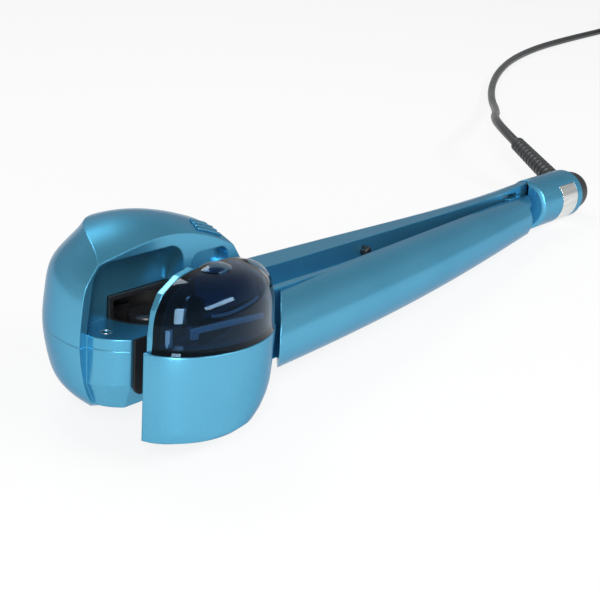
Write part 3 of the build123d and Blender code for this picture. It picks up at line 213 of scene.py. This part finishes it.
def linear(code):
    """An sRGB hex colour as the linear colour that a socket takes."""
    shares = [int(code[start : start + 2], 16) / 255 for start in (1, 3, 5)]
    return (*[s / 12.92 if s <= 0.04045 else ((s + 0.055) / 1.055) ** 2.4 for s in shares], 1.0)


def add_node(tree, kind, settings, links=None):
    """Add a node, fill in its settings, sockets or colour stops, and link what feeds it."""
    node = tree.nodes.new(kind)
    for key, value in settings.items():
        if key == "stops":
            for stop, (position, colour) in zip(node.color_ramp.elements, value):
                stop.position = position
                stop.color = colour
        elif isinstance(key, int) or key in node.inputs:
            node.inputs[key].default_value = value
        else:
            setattr(node, key, value)
    for key, socket in (links or {}).items():
        tree.links.new(socket, node.inputs[key])
    return node


def start_material(name):
    """A new node material, its tree and its shader."""
    material = bpy.data.materials.new(name)
    material.use_nodes = True
    tree = material.node_tree
    return material, tree, tree.nodes["Principled BSDF"]


def fill(shader, values):
    """Set the sockets of a shader that are the same all over the surface."""
    for name, value in values.items():
        shader.inputs[name].default_value = value


def per_metre(millimetres):
    """The scale at which a pattern repeats about once in this many millimetres."""
    return 1000.0 / millimetres


def sprayed_lacquer(name, low, high, edge_tint):
    """Metallic lacquer sprayed on moulded ABS: aluminium flake under tinted clear coat.

    It gives the eye a satin glow that turns with the form, a faint sparkle, and bright lines along edges.
    """
    material, tree, shader = start_material(name)
    place = add_node(tree, "ShaderNodeTexCoord", {}).outputs["Object"]
    # Flake is about 0.03 mm, drawn at 0.35 mm so that it shows at all
    flake = add_node(tree, "ShaderNodeTexVoronoi", {"Scale": per_metre(0.35)}, {"Vector": place})
    # The spray lies a little thicker and thinner over about 30 mm
    drift = add_node(
        tree, "ShaderNodeTexNoise", {"Scale": per_metre(30), "Detail": 2.0}, {"Vector": place}
    )
    both = add_node(
        tree,
        "ShaderNodeMix",
        {"data_type": "FLOAT", 0: 0.35},
        {2: drift.outputs["Fac"], 3: flake.outputs["Distance"]},
    )
    tint = add_node(
        tree,
        "ShaderNodeValToRGB",
        {"stops": [(0.30, linear(low)), (0.62, linear(high))]},
        {"Fac": both.outputs[0]},
    )
    tree.links.new(tint.outputs["Color"], shader.inputs["Base Color"])
    # Moulding leaves a very slight orange peel of about 2 mm under the lacquer
    peel = add_node(
        tree, "ShaderNodeTexNoise", {"Scale": per_metre(2.0), "Detail": 1.0}, {"Vector": place}
    )
    soft_edge = add_node(tree, "ShaderNodeBevel", {"samples": 6, "Radius": 0.0006})
    bump = add_node(
        tree,
        "ShaderNodeBump",
        {"Strength": 0.05, "Distance": 0.00005},
        {"Height": peel.outputs["Fac"], "Normal": soft_edge.outputs["Normal"]},
    )
    tree.links.new(bump.outputs["Normal"], shader.inputs["Normal"])
    fill(shader, {"Metallic": 0.85, "Roughness": 0.30, "Coat Weight": 0.40})
    # The flake lies flat, so the edges of the form stay blue instead of going white
    fill(shader, {"Specular Tint": linear(edge_tint)})
    return material


def moulded_plastic(name, low, high, roughness, grain, edge):
    """Moulded plastic with a spark-eroded grain given in millimetres.

    It gives the eye a soft broken shine, a colour that varies a little, and rounded edges.
    """
    material, tree, shader = start_material(name)
    place = add_node(tree, "ShaderNodeTexCoord", {}).outputs["Object"]
    speck = add_node(
        tree, "ShaderNodeTexNoise", {"Scale": per_metre(grain), "Detail": 4.0}, {"Vector": place}
    )
    tint = add_node(
        tree,
        "ShaderNodeValToRGB",
        {"stops": [(0.35, linear(low)), (0.65, linear(high))]},
        {"Fac": speck.outputs["Fac"]},
    )
    tree.links.new(tint.outputs["Color"], shader.inputs["Base Color"])
    # Handling polishes patches about 20 mm across
    rub = add_node(
        tree, "ShaderNodeTexNoise", {"Scale": per_metre(20), "Detail": 2.0}, {"Vector": place}
    )
    shine = add_node(
        tree,
        "ShaderNodeMapRange",
        {"To Min": roughness - 0.07, "To Max": roughness + 0.07},
        {"Value": rub.outputs["Fac"]},
    )
    tree.links.new(shine.outputs["Result"], shader.inputs["Roughness"])
    soft_edge = add_node(tree, "ShaderNodeBevel", {"samples": 6, "Radius": edge})
    bump = add_node(
        tree,
        "ShaderNodeBump",
        {"Strength": 0.2, "Distance": 0.00008},
        {"Height": speck.outputs["Fac"], "Normal": soft_edge.outputs["Normal"]},
    )
    tree.links.new(bump.outputs["Normal"], shader.inputs["Normal"])
    return material


def drawn_metal(name, low, high, roughness, line):
    """Bare or plated metal with fine lines along the machine, their width in millimetres.

    It gives the eye a streaky mirror that is brightest across the lines.
    """
    material, tree, shader = start_material(name)
    place = add_node(tree, "ShaderNodeTexCoord", {}).outputs["Object"]
    stretch = add_node(tree, "ShaderNodeMapping", {"Scale": (0.08, 1.0, 1.0)}, {"Vector": place})
    lines = add_node(
        tree,
        "ShaderNodeTexNoise",
        {"Scale": per_metre(line), "Detail": 4.0},
        {"Vector": stretch.outputs["Vector"]},
    )
    tint = add_node(
        tree,
        "ShaderNodeValToRGB",
        {"stops": [(0.35, linear(low)), (0.65, linear(high))]},
        {"Fac": lines.outputs["Fac"]},
    )
    tree.links.new(tint.outputs["Color"], shader.inputs["Base Color"])
    soft_edge = add_node(tree, "ShaderNodeBevel", {"samples": 6, "Radius": 0.0003})
    bump = add_node(
        tree,
        "ShaderNodeBump",
        {"Strength": 0.08, "Distance": 0.00004},
        {"Height": lines.outputs["Fac"], "Normal": soft_edge.outputs["Normal"]},
    )
    tree.links.new(bump.outputs["Normal"], shader.inputs["Normal"])
    fill(shader, {"Metallic": 1.0, "Roughness": roughness})
    return material


def clear_acrylic(name, low, high, sheen):
    """Tinted clear acrylic, injection moulded and polished; lamps shine through it.

    It gives the eye a dark glassy window with sharp glints and a slightly uneven tint.
    """
    material, tree, shader = start_material(name)
    place = add_node(tree, "ShaderNodeTexCoord", {}).outputs["Object"]
    # The melt flows in streaks about 12 mm wide
    flow = add_node(
        tree, "ShaderNodeTexNoise", {"Scale": per_metre(12), "Detail": 2.0}, {"Vector": place}
    )
    tint = add_node(
        tree,
        "ShaderNodeValToRGB",
        {"stops": [(0.30, linear(low)), (0.70, linear(high))]},
        {"Fac": flow.outputs["Fac"]},
    )
    tree.links.new(tint.outputs["Color"], shader.inputs["Base Color"])
    fill(shader, {"Transmission Weight": 1.0, "Roughness": 0.03, "IOR": 1.49})
    # The pigment lies close under the surface and tints what it mirrors too
    fill(shader, {"Specular Tint": linear(sheen)})
    path = add_node(tree, "ShaderNodeLightPath", {})
    film = add_node(tree, "ShaderNodeBsdfTransparent", {}, {"Color": tint.outputs["Color"]})
    mix = add_node(
        tree,
        "ShaderNodeMixShader",
        {},
        {0: path.outputs["Is Shadow Ray"], 1: shader.outputs["BSDF"], 2: film.outputs["BSDF"]},
    )
    tree.links.new(mix.outputs["Shader"], tree.nodes["Material Output"].inputs["Surface"])
    return material


LACQUER = sprayed_lacquer("sprayed_blue_lacquer_on_abs", "#4F9FC2", "#5AA9CB", "#6A9AB4")
# Pale plastic for the pieces inside the tank: its paleness is a painted highlight, standing in for light caught
# along their edges
PALE_HIGHLIGHT_PLASTIC = moulded_plastic("moulded_pale_polypropylene_painted_highlight", "#B4CAD6", "#C9DBE4", 0.35, 0.60, 0.0002)
BLACK_ABS = moulded_plastic("moulded_black_abs", "#101113", "#191A1D", 0.42, 0.55, 0.0004)
HEAT_PLASTIC = moulded_plastic("moulded_black_heat_resin", "#0B0B0D", "#141417", 0.50, 0.65, 0.0004)
CORD_VINYL = moulded_plastic("extruded_black_vinyl", "#2A2C2E", "#36383B", 0.40, 0.45, 0.0002)
SOFT_RUBBER = moulded_plastic("moulded_black_rubber", "#1B1C1D", "#292A2B", 0.55, 0.70, 0.0004)
DARK_CERAMIC = moulded_plastic("fired_dark_ceramic_coat", "#1A1B1E", "#26282C", 0.32, 1.10, 0.0003)
BOARD_LAMINATE = moulded_plastic("pressed_green_board_laminate", "#1F5B38", "#2E7A4C", 0.50, 1.40, 0.0002)
SATIN_STEEL = drawn_metal("drawn_satin_steel", "#AEB0B2", "#CFD1D2", 0.30, 0.30)
BAND_CHROME = drawn_metal("satin_chrome_plating", "#D2D5D3", "#E6E9E7", 0.26, 1.20)
TURNED_BRASS = drawn_metal("turned_brass", "#B8924A", "#DDB870", 0.28, 0.30)
TANK_ACRYLIC = clear_acrylic("moulded_smoke_acrylic", "#5C7A94", "#6B8AA4", "#8FB2CC")
LENS_ACRYLIC = clear_acrylic("moulded_clear_acrylic", "#E6EAEA", "#F2F5F5", "#FFFFFF")

FINISHES = {
    "shell_blue": LACQUER,
    "black_plastic": BLACK_ABS,
    "chamber_black": HEAT_PLASTIC,
    "bright_metal": SATIN_STEEL,
    "bright_trim": BAND_CHROME,
    "core_ceramic": DARK_CERAMIC,
    "core_metal": SATIN_STEEL,
    "brass": TURNED_BRASS,
    "tank_smoke": TANK_ACRYLIC,
    "seal_rubber": SOFT_RUBBER,
    "board_green": BOARD_LAMINATE,
    "lens_clear": LENS_ACRYLIC,
    "cord_black": CORD_VINYL,
}


def finish_nodes():
    """Give each CAD node the finish of its slot."""
    for entry in frame["record"]["subparts"]:
        node = nodes[entry["node"]]
        node.data.materials.clear()
        node.data.materials.append(FINISHES[entry["material_slot"]])


def coil_points():
    """Points of the coil's turns: flat layers wound in and out, each a cord higher than the last."""
    points = []
    for step in range(round(POINTS_PER_TURN * COIL_END_TURN) + 1):
        turns = step / POINTS_PER_TURN
        layer = min(int(turns / COIL_LAYER_TURNS), COIL_LAYERS - 1)
        within = turns - layer * COIL_LAYER_TURNS
        depth = within if layer % 2 == 0 else COIL_LAYER_TURNS - within
        level = 0.0
        # The cord climbs smoothly from one layer to the next
        for change in range(1, COIL_LAYERS):
            share = min(max((turns - change * COIL_LAYER_TURNS) / COIL_RISE_TURNS + 0.5, 0), 1)
            level += share * share * (3 - 2 * share)
        radius = COIL_OUTER_RADIUS - depth * COIL_PITCH
        angle = math.pi / 2 - 2 * math.pi * turns
        x = COIL_START[0] + radius * math.cos(angle)
        y = COIL_START[1] - COIL_OUTER_RADIUS + radius * math.sin(angle)
        points.append(Vector((x, y, CORD_LEVEL + level * LAYER_PITCH)))
    return points


def make_cord(on_cord):
    """The whole cord as one smooth spline, from the strain relief through the coil to the plug."""
    exits = [DEVICE @ (RELIEF_ROOT + RELIEF_DIRECTION * RELIEF_END)]
    exits.append(DEVICE @ (RELIEF_ROOT + RELIEF_DIRECTION * (RELIEF_END + EXIT_STRAIGHT)))
    points = [*exits, *map(Vector, CORD_ROUTE), *coil_points(), *map(Vector, LEAD_ROUTE)]
    data = bpy.data.curves.new("mains_cord", "CURVE")
    data.dimensions = "3D"
    spline = data.splines.new("NURBS")
    spline.points.add(len(points) - 1)
    for control, point in zip(spline.points, points):
        control.co = (*point, 1)
    spline.order_u = 3
    spline.use_endpoint_u = True
    spline.resolution_u = CORD_STEPS
    data.bevel_depth = CORD_DIAMETER / 2
    data.bevel_resolution = CORD_ROUNDNESS
    data.use_fill_caps = True
    data.materials.append(CORD_VINYL)
    cord = bpy.data.objects.new("mains_cord", data)
    bpy.context.collection.objects.link(cord)
    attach(cord, "cord_swivel")
    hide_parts("power_cord", "cord_coil", "plug_lead")


def begin_piece(add_primitive, **settings):
    """Add a primitive with nothing else selected, and go into edit mode with all of it selected."""
    bpy.ops.object.select_all(action="DESELECT")
    add_primitive(**settings)
    piece = bpy.context.object
    bpy.ops.object.mode_set(mode="EDIT")
    bpy.ops.mesh.select_mode(type="FACE")
    return piece


def pick_faces(piece, wanted):
    """Select just the faces whose middle and normal, in the piece's own frame, are wanted."""
    bpy.ops.mesh.select_all(action="DESELECT")
    bpy.ops.object.mode_set(mode="OBJECT")
    for face in piece.data.polygons:
        face.select = wanted(face.center, face.normal)
    bpy.ops.object.mode_set(mode="EDIT")


def apply_place():
    """Put the piece's place, turn and size into its mesh."""
    bpy.ops.object.mode_set(mode="OBJECT")
    bpy.ops.object.transform_apply(location=True, rotation=True, scale=True)
    bpy.ops.object.mode_set(mode="EDIT")


def apply_modifier(piece, kind, **settings):
    """Finish a shape with a modifier and apply it."""
    modifier = piece.modifiers.new(kind.lower(), kind)
    for key, value in settings.items():
        setattr(modifier, key, value)
    bpy.ops.object.modifier_apply(modifier=modifier.name)


def round_rims(piece):
    """Take the sharpness off the rims that a wall's thickness leaves."""
    apply_modifier(
        piece, "BEVEL", width=RIM_ROUND, segments=RIM_SEGMENTS, limit_method="ANGLE", angle_limit=RIM_ANGLE
    )


def finish_piece(piece, name, placing, body, material):
    """Set a shaped piece in its place, smooth it, and give it its finish and the body it moves with."""
    bpy.ops.object.mode_set(mode="OBJECT")
    piece.name = name
    piece.data.name = name
    piece.matrix_world = placing @ piece.matrix_world
    bpy.ops.object.transform_apply(location=True, rotation=True, scale=True)
    bpy.ops.object.shade_smooth_by_angle(angle=SMOOTH_ANGLE)
    piece.data.materials.clear()
    piece.data.materials.append(material)
    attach(piece, body)
    return piece


def make_clamp_shell():
    """The bowl of the clamp head: drawn down from its deck, drawn in towards its heel, open at the back."""
    height, rear, depth = CLAMP_LEVELS[0]
    radius = (rear - CLAMP_FRONT) / 2
    middle = ((CLAMP_FRONT + rear) / 2, 0, height)
    shell = begin_piece(
        bpy.ops.mesh.primitive_circle_add,
        vertices=ROUND_VERTICES,
        radius=radius,
        fill_type="NGON",
        location=middle,
    )
    bpy.ops.transform.resize(value=(1, depth / radius, 1), center_override=middle)
    bpy.ops.mesh.bisect(plane_co=(0, -CLAMP_BACK, 0), plane_no=(0, 1, 0), clear_outer=True)
    bpy.ops.mesh.select_all(action="SELECT")
    for lower, next_rear, next_depth in CLAMP_LEVELS[1:]:
        bpy.ops.mesh.extrude_region_move(TRANSFORM_OT_translate={"value": (0, 0, lower - height)})
        bpy.ops.transform.resize(
            value=((next_rear - CLAMP_FRONT) / (rear - CLAMP_FRONT), next_depth / depth, 1),
            center_override=(CLAMP_FRONT, 0, lower),
        )
        height, rear, depth = lower, next_rear, next_depth
    bpy.ops.mesh.select_all(action="SELECT")
    bpy.ops.mesh.normals_make_consistent(inside=False)
    pick_faces(shell, lambda place, normal: normal.y > FACING)
    bpy.ops.mesh.delete(type="FACE")
    bpy.ops.object.mode_set(mode="OBJECT")
    apply_modifier(
        shell, "BEVEL", width=CLAMP_ROUND, segments=4, limit_method="ANGLE", angle_limit=CLAMP_EDGE
    )
    apply_modifier(shell, "SOLIDIFY", thickness=CLAMP_SKIN, offset=-1)
    round_rims(shell)
    finish_piece(shell, "clamp_shell", CLAMP, "clamp_arm", LACQUER)
    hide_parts("clamp_head")


def make_tank_baffle():
    """A strip across the tank that keeps its water from surging, on a foot at its front end."""
    (x0, y0), (x1, y1) = BAFFLE_ENDS
    run = Vector((x1 - x0, y1 - y0, 0))
    baffle = begin_piece(
        bpy.ops.mesh.primitive_cube_add,
        size=1,
        location=((x0 + x1) / 2, (y0 + y1) / 2, BAFFLE_HEIGHT),
        rotation=(0, 0, math.atan2(run.y, run.x)),
        scale=(run.length, BAFFLE_THICKNESS, BAFFLE_DEPTH),
    )
    foot = Vector((x0, y0, BAFFLE_HEIGHT)) + run.normalized() * BAFFLE_FOOT
    bpy.ops.mesh.bisect(plane_co=foot, plane_no=run.normalized())
    foot_end = BAFFLE_FOOT - run.length / 2
    pick_faces(baffle, lambda place, normal: normal.z < -FACING and place.x < foot_end)
    drop = BAFFLE_FLOOR - BAFFLE_HEIGHT + BAFFLE_DEPTH / 2
    bpy.ops.mesh.extrude_region_move(TRANSFORM_OT_translate={"value": (0, 0, drop)})
    bpy.ops.object.mode_set(mode="OBJECT")
    bpy.ops.object.transform_apply(location=True, rotation=True, scale=True)
    apply_modifier(baffle, "BEVEL", width=BAFFLE_ROUND, segments=3)
    # Its pale finish is a painted highlight for the light along its edges
    finish_piece(baffle, "tank_baffle", CLAMP, "water_tank", PALE_HIGHLIGHT_PLASTIC)


def make_tank_front_rib():
    """An upright rib inside the tank's front end, with a stepped face."""
    rib = begin_piece(
        bpy.ops.mesh.primitive_cube_add, size=1, location=FRONT_RIB_PLACE, scale=FRONT_RIB_SIZE
    )
    apply_place()
    pick_faces(rib, lambda place, normal: normal.y < -FACING)
    bpy.ops.mesh.inset(thickness=FRONT_RIB_MARGIN)
    bpy.ops.mesh.extrude_region_move(TRANSFORM_OT_translate={"value": (0, -FRONT_RIB_STEP, 0)})
    bpy.ops.object.mode_set(mode="OBJECT")
    apply_modifier(rib, "BEVEL", width=RIM_ROUND, segments=3)
    # Its pale finish is a painted highlight for the light along its edges
    finish_piece(rib, "tank_front_rib", CLAMP, "water_tank", PALE_HIGHLIGHT_PLASTIC)


def make_tank_arc():
    """A raised pale arc along the tank's back wall, a painted reflection standing in for the light mirrored along
    the tank's rim.
    """
    arc = begin_piece(
        bpy.ops.mesh.primitive_plane_add,
        size=ARC_WIDTH,
        location=(ARC_MIDDLE[0], ARC_MIDDLE[1], ARC_MIDDLE[2] - ARC_RADIUS),
        rotation=(0, math.pi / 2, 0),
    )
    turn = Matrix.Rotation(ARC_ANGLE / 2, 4, "Y")
    middle = Matrix.Translation(ARC_MIDDLE)
    arc.matrix_world = middle @ turn @ middle.inverted() @ arc.matrix_world
    bpy.ops.mesh.spin(steps=ARC_STEPS, angle=ARC_ANGLE, center=ARC_MIDDLE, axis=(0, 1, 0))
    bpy.ops.mesh.select_all(action="SELECT")
    bpy.ops.mesh.normals_make_consistent(inside=False)
    bpy.ops.object.mode_set(mode="OBJECT")
    apply_modifier(arc, "BEVEL", width=RIM_ROUND, segments=2, limit_method="ANGLE", angle_limit=ARC_EDGE)
    # Its pale finish paints the reflection of the tank's rim
    finish_piece(arc, "tank_painted_reflection_arc", CLAMP, "water_tank", PALE_HIGHLIGHT_PLASTIC)


def make_jaw_eyelet():
    """A pressed eyelet round the locating hole in the lower jaw."""
    eyelet = begin_piece(
        bpy.ops.mesh.primitive_cylinder_add,
        vertices=EYELET_VERTICES,
        radius=EYELET_RADIUS,
        depth=EYELET_HEIGHT,
        end_fill_type="NOTHING",
        location=EYELET_PLACE,
    )
    bpy.ops.object.mode_set(mode="OBJECT")
    apply_modifier(eyelet, "SOLIDIFY", thickness=EYELET_RIM, offset=0)
    apply_modifier(eyelet, "BEVEL", width=EYELET_ROUND, segments=3, limit_method="ANGLE")
    finish_piece(eyelet, "jaw_eyelet", DEVICE, "main_arm", SATIN_STEEL)


def make_collar_lip():
    """A half-round lip in front of the collar that closes the gap behind the clamp handle's end."""
    middle = ((LIP_FRONT + LIP_REAR) / 2, 0, 0)
    lip = begin_piece(
        bpy.ops.mesh.primitive_cylinder_add,
        vertices=ROUND_VERTICES,
        radius=LIP_RADIUS,
        depth=LIP_REAR - LIP_FRONT,
        location=middle,
        rotation=(0, math.pi / 2, 0),
    )
    bpy.ops.mesh.bisect(plane_co=middle, plane_no=(0, 1, 0), clear_outer=True, use_fill=True)
    apply_place()
    pick_faces(lip, lambda place, normal: normal.x < -FACING)
    bpy.ops.mesh.inset(thickness=LIP_TAPER)
    bpy.ops.transform.translate(value=(-LIP_CROWN, 0, 0))
    bpy.ops.object.mode_set(mode="OBJECT")
    apply_modifier(lip, "BEVEL", width=LIP_ROUND, segments=4, limit_method="ANGLE", angle_limit=LIP_EDGE)
    finish_piece(lip, "collar_lip", DEVICE, "main_arm", LACQUER)


def make_coil_tie():
    """A strap round one side of the coil that holds its turns together."""
    tie = begin_piece(
        bpy.ops.mesh.primitive_cube_add,
        size=1,
        location=(COIL_START[0] - TIE_REACH, COIL_START[1] - COIL_OUTER_RADIUS, TIE_TOP / 2),
        scale=(TIE_SPAN, TIE_WIDTH, TIE_TOP - 2 * TIE_THICKNESS),
    )
    apply_place()
    pick_faces(tie, lambda place, normal: abs(normal.y) > FACING)
    bpy.ops.mesh.delete(type="FACE")
    bpy.ops.object.mode_set(mode="OBJECT")
    apply_modifier(tie, "BEVEL", width=TIE_CORNER, segments=5, limit_method="ANGLE")
    apply_modifier(tie, "SOLIDIFY", thickness=TIE_THICKNESS, offset=1)
    round_rims(tie)
    return finish_piece(tie, "coil_tie", Matrix(), "cord_swivel", SOFT_RUBBER)


def make_plug_ribs():
    """Raised finger ribs across the top of the plug: one is modelled, the others are copies of it."""
    low, high = (Vector(corner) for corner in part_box("plug_body"))
    middle = (low + high) / 2
    rib_place = (middle.x, middle.y + PLUG_RIB_START, high.z)
    rib = begin_piece(bpy.ops.mesh.primitive_cube_add, size=1, location=rib_place, scale=PLUG_RIB_SIZE)
    apply_place()
    pick_faces(rib, lambda place, normal: normal.z > FACING)
    bpy.ops.mesh.extrude_region_move(TRANSFORM_OT_translate={"value": (0, 0, PLUG_RIB_CREST)})
    bpy.ops.transform.resize(value=PLUG_RIB_NARROWING, center_override=rib_place)
    bpy.ops.object.mode_set(mode="OBJECT")
    apply_modifier(rib, "BEVEL", width=RIM_ROUND, segments=3)
    ribs = [finish_piece(rib, "plug_rib_1", Matrix(), "cord_swivel", CORD_VINYL)]
    for count in range(1, PLUG_RIBS):
        copy = bpy.data.objects.new(f"plug_rib_{count + 1}", rib.data.copy())
        bpy.context.collection.objects.link(copy)
        copy.data.transform(Matrix.Translation((0, count * PLUG_RIB_PITCH, 0)))
        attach(copy, "cord_swivel")
        ribs.append(copy)
    return ribs


def make_louvres():
    """Raised slats over the vent at the rear of the head's crown, laid on the housing."""
    for count, (start, across) in enumerate(LOUVRE_ROWS):
        length = LOUVRE_END - start
        middle = (start + length / 2, across, LOUVRE_ABOVE)
        slat = begin_piece(bpy.ops.mesh.primitive_plane_add, size=length, location=middle)
        bpy.ops.transform.resize(value=(1, LOUVRE_WIDTH / length, 1), center_override=middle)
        bpy.ops.mesh.subdivide(number_cuts=LOUVRE_CUTS)
        bpy.ops.object.mode_set(mode="OBJECT")
        apply_modifier(
            slat,
            "SHRINKWRAP",
            target=nodes["upper_housing"],
            wrap_method="PROJECT",
            use_project_z=True,
            use_negative_direction=True,
            use_positive_direction=False,
        )
        apply_modifier(slat, "SOLIDIFY", thickness=LOUVRE_HEIGHT, offset=1)
        round_rims(slat)
        finish_piece(slat, f"louvre_slat_{count + 1}", Matrix(), "main_arm", LACQUER)


def make_floor():
    """A plain pale floor that shows white to the eye and still takes the machine's shadow."""
    bpy.ops.object.select_all(action="DESELECT")
    bpy.ops.mesh.primitive_plane_add(size=FLOOR_SIZE, location=(0, 0, 0))
    floor = bpy.context.object
    floor.name = "studio_floor"
    material, tree, shader = start_material("matt_white_floor_paint")
    place = add_node(tree, "ShaderNodeTexCoord", {}).outputs["Object"]
    # Roller marks about 300 mm apart
    roll = add_node(
        tree, "ShaderNodeTexNoise", {"Scale": per_metre(300), "Detail": 2.0}, {"Vector": place}
    )
    tint = add_node(
        tree,
        "ShaderNodeValToRGB",
        {"stops": [(0.35, linear(FLOOR_GREYS[0])), (0.65, linear(FLOOR_GREYS[1]))]},
        {"Fac": roll.outputs["Fac"]},
    )
    tree.links.new(tint.outputs["Color"], shader.inputs["Base Color"])
    fill(shader, {"Roughness": 0.9, "Specular IOR Level": 0.1})
    path = add_node(tree, "ShaderNodeLightPath", {})
    seen = add_node(
        tree,
        "ShaderNodeMath",
        {"operation": "MAXIMUM"},
        {0: path.outputs["Is Camera Ray"], 1: path.outputs["Is Glossy Ray"]},
    )
    seen = add_node(
        tree,
        "ShaderNodeMath",
        {"operation": "MAXIMUM"},
        {0: seen.outputs["Value"], 1: path.outputs["Is Transmission Ray"]},
    )
    share = add_node(
        tree, "ShaderNodeMath", {"operation": "MULTIPLY", 1: FLOOR_GLOW}, {0: seen.outputs["Value"]}
    )
    glow = add_node(tree, "ShaderNodeEmission", {"Color": (1, 1, 1, 1), "Strength": 1.0})
    mix = add_node(
        tree,
        "ShaderNodeMixShader",
        {},
        {0: share.outputs["Value"], 1: shader.outputs["BSDF"], 2: glow.outputs["Emission"]},
    )
    tree.links.new(mix.outputs["Shader"], tree.nodes["Material Output"].inputs["Surface"])
    floor.data.materials.append(material)


def make_light():
    """Soft lamps in a studio with pale walls all round and a dim ceiling."""
    world = bpy.data.worlds.new("studio")
    world.use_nodes = True
    tree = world.node_tree
    way = add_node(tree, "ShaderNodeTexCoord", {})
    height = add_node(tree, "ShaderNodeSeparateXYZ", {}, {"Vector": way.outputs["Generated"]})
    shade = add_node(
        tree,
        "ShaderNodeValToRGB",
        {"stops": [(WALL_HEIGHT, linear(WALL_GREY)), (CEILING_HEIGHT, linear(CEILING_GREY))]},
        {"Fac": height.outputs["Z"]},
    )
    tree.links.new(shade.outputs["Color"], tree.nodes["Background"].inputs["Color"])
    bpy.context.scene.world = world
    for name, (place, size, power) in LAMPS.items():
        lamp = bpy.data.lights.new(name, "AREA")
        lamp.shape = "RECTANGLE"
        lamp.size = size[0]
        lamp.size_y = size[1]
        lamp.energy = power
        light = bpy.data.objects.new(name, lamp)
        bpy.context.collection.objects.link(light)
        light.location = place
        light.rotation_euler = (LIGHT_AIM - Vector(place)).to_track_quat("-Z", "Y").to_euler()


def make_camera():
    """The camera at the photograph's viewing angle."""
    data = bpy.data.cameras.new("camera")
    data.lens = CAMERA_LENS
    data.sensor_width = CAMERA_SENSOR
    data.sensor_fit = "HORIZONTAL"
    data.clip_start = CAMERA_NEAR
    camera = bpy.data.objects.new("camera", data)
    bpy.context.collection.objects.link(camera)
    turned = Matrix((CAMERA_RIGHT, CAMERA_UP, CAMERA_RIGHT.cross(CAMERA_UP))).transposed().to_4x4()
    camera.matrix_world = Matrix.Translation(CAMERA_PLACE) @ turned
    bpy.context.scene.camera = camera
    bpy.context.scene.view_settings.view_transform = "Standard"


make_camera()
finish_nodes()
plug = [nodes["plug_body"], nodes["plug_blade_left"], nodes["plug_blade_right"]]
make_cord([*plug, *make_plug_ribs(), make_coil_tie()])
make_clamp_shell()
make_tank_baffle()
make_tank_front_rib()
make_tank_arc()
make_jaw_eyelet()
make_collar_lip()
make_louvres()
make_floor()
make_light()

bpy.context.view_layer.update()
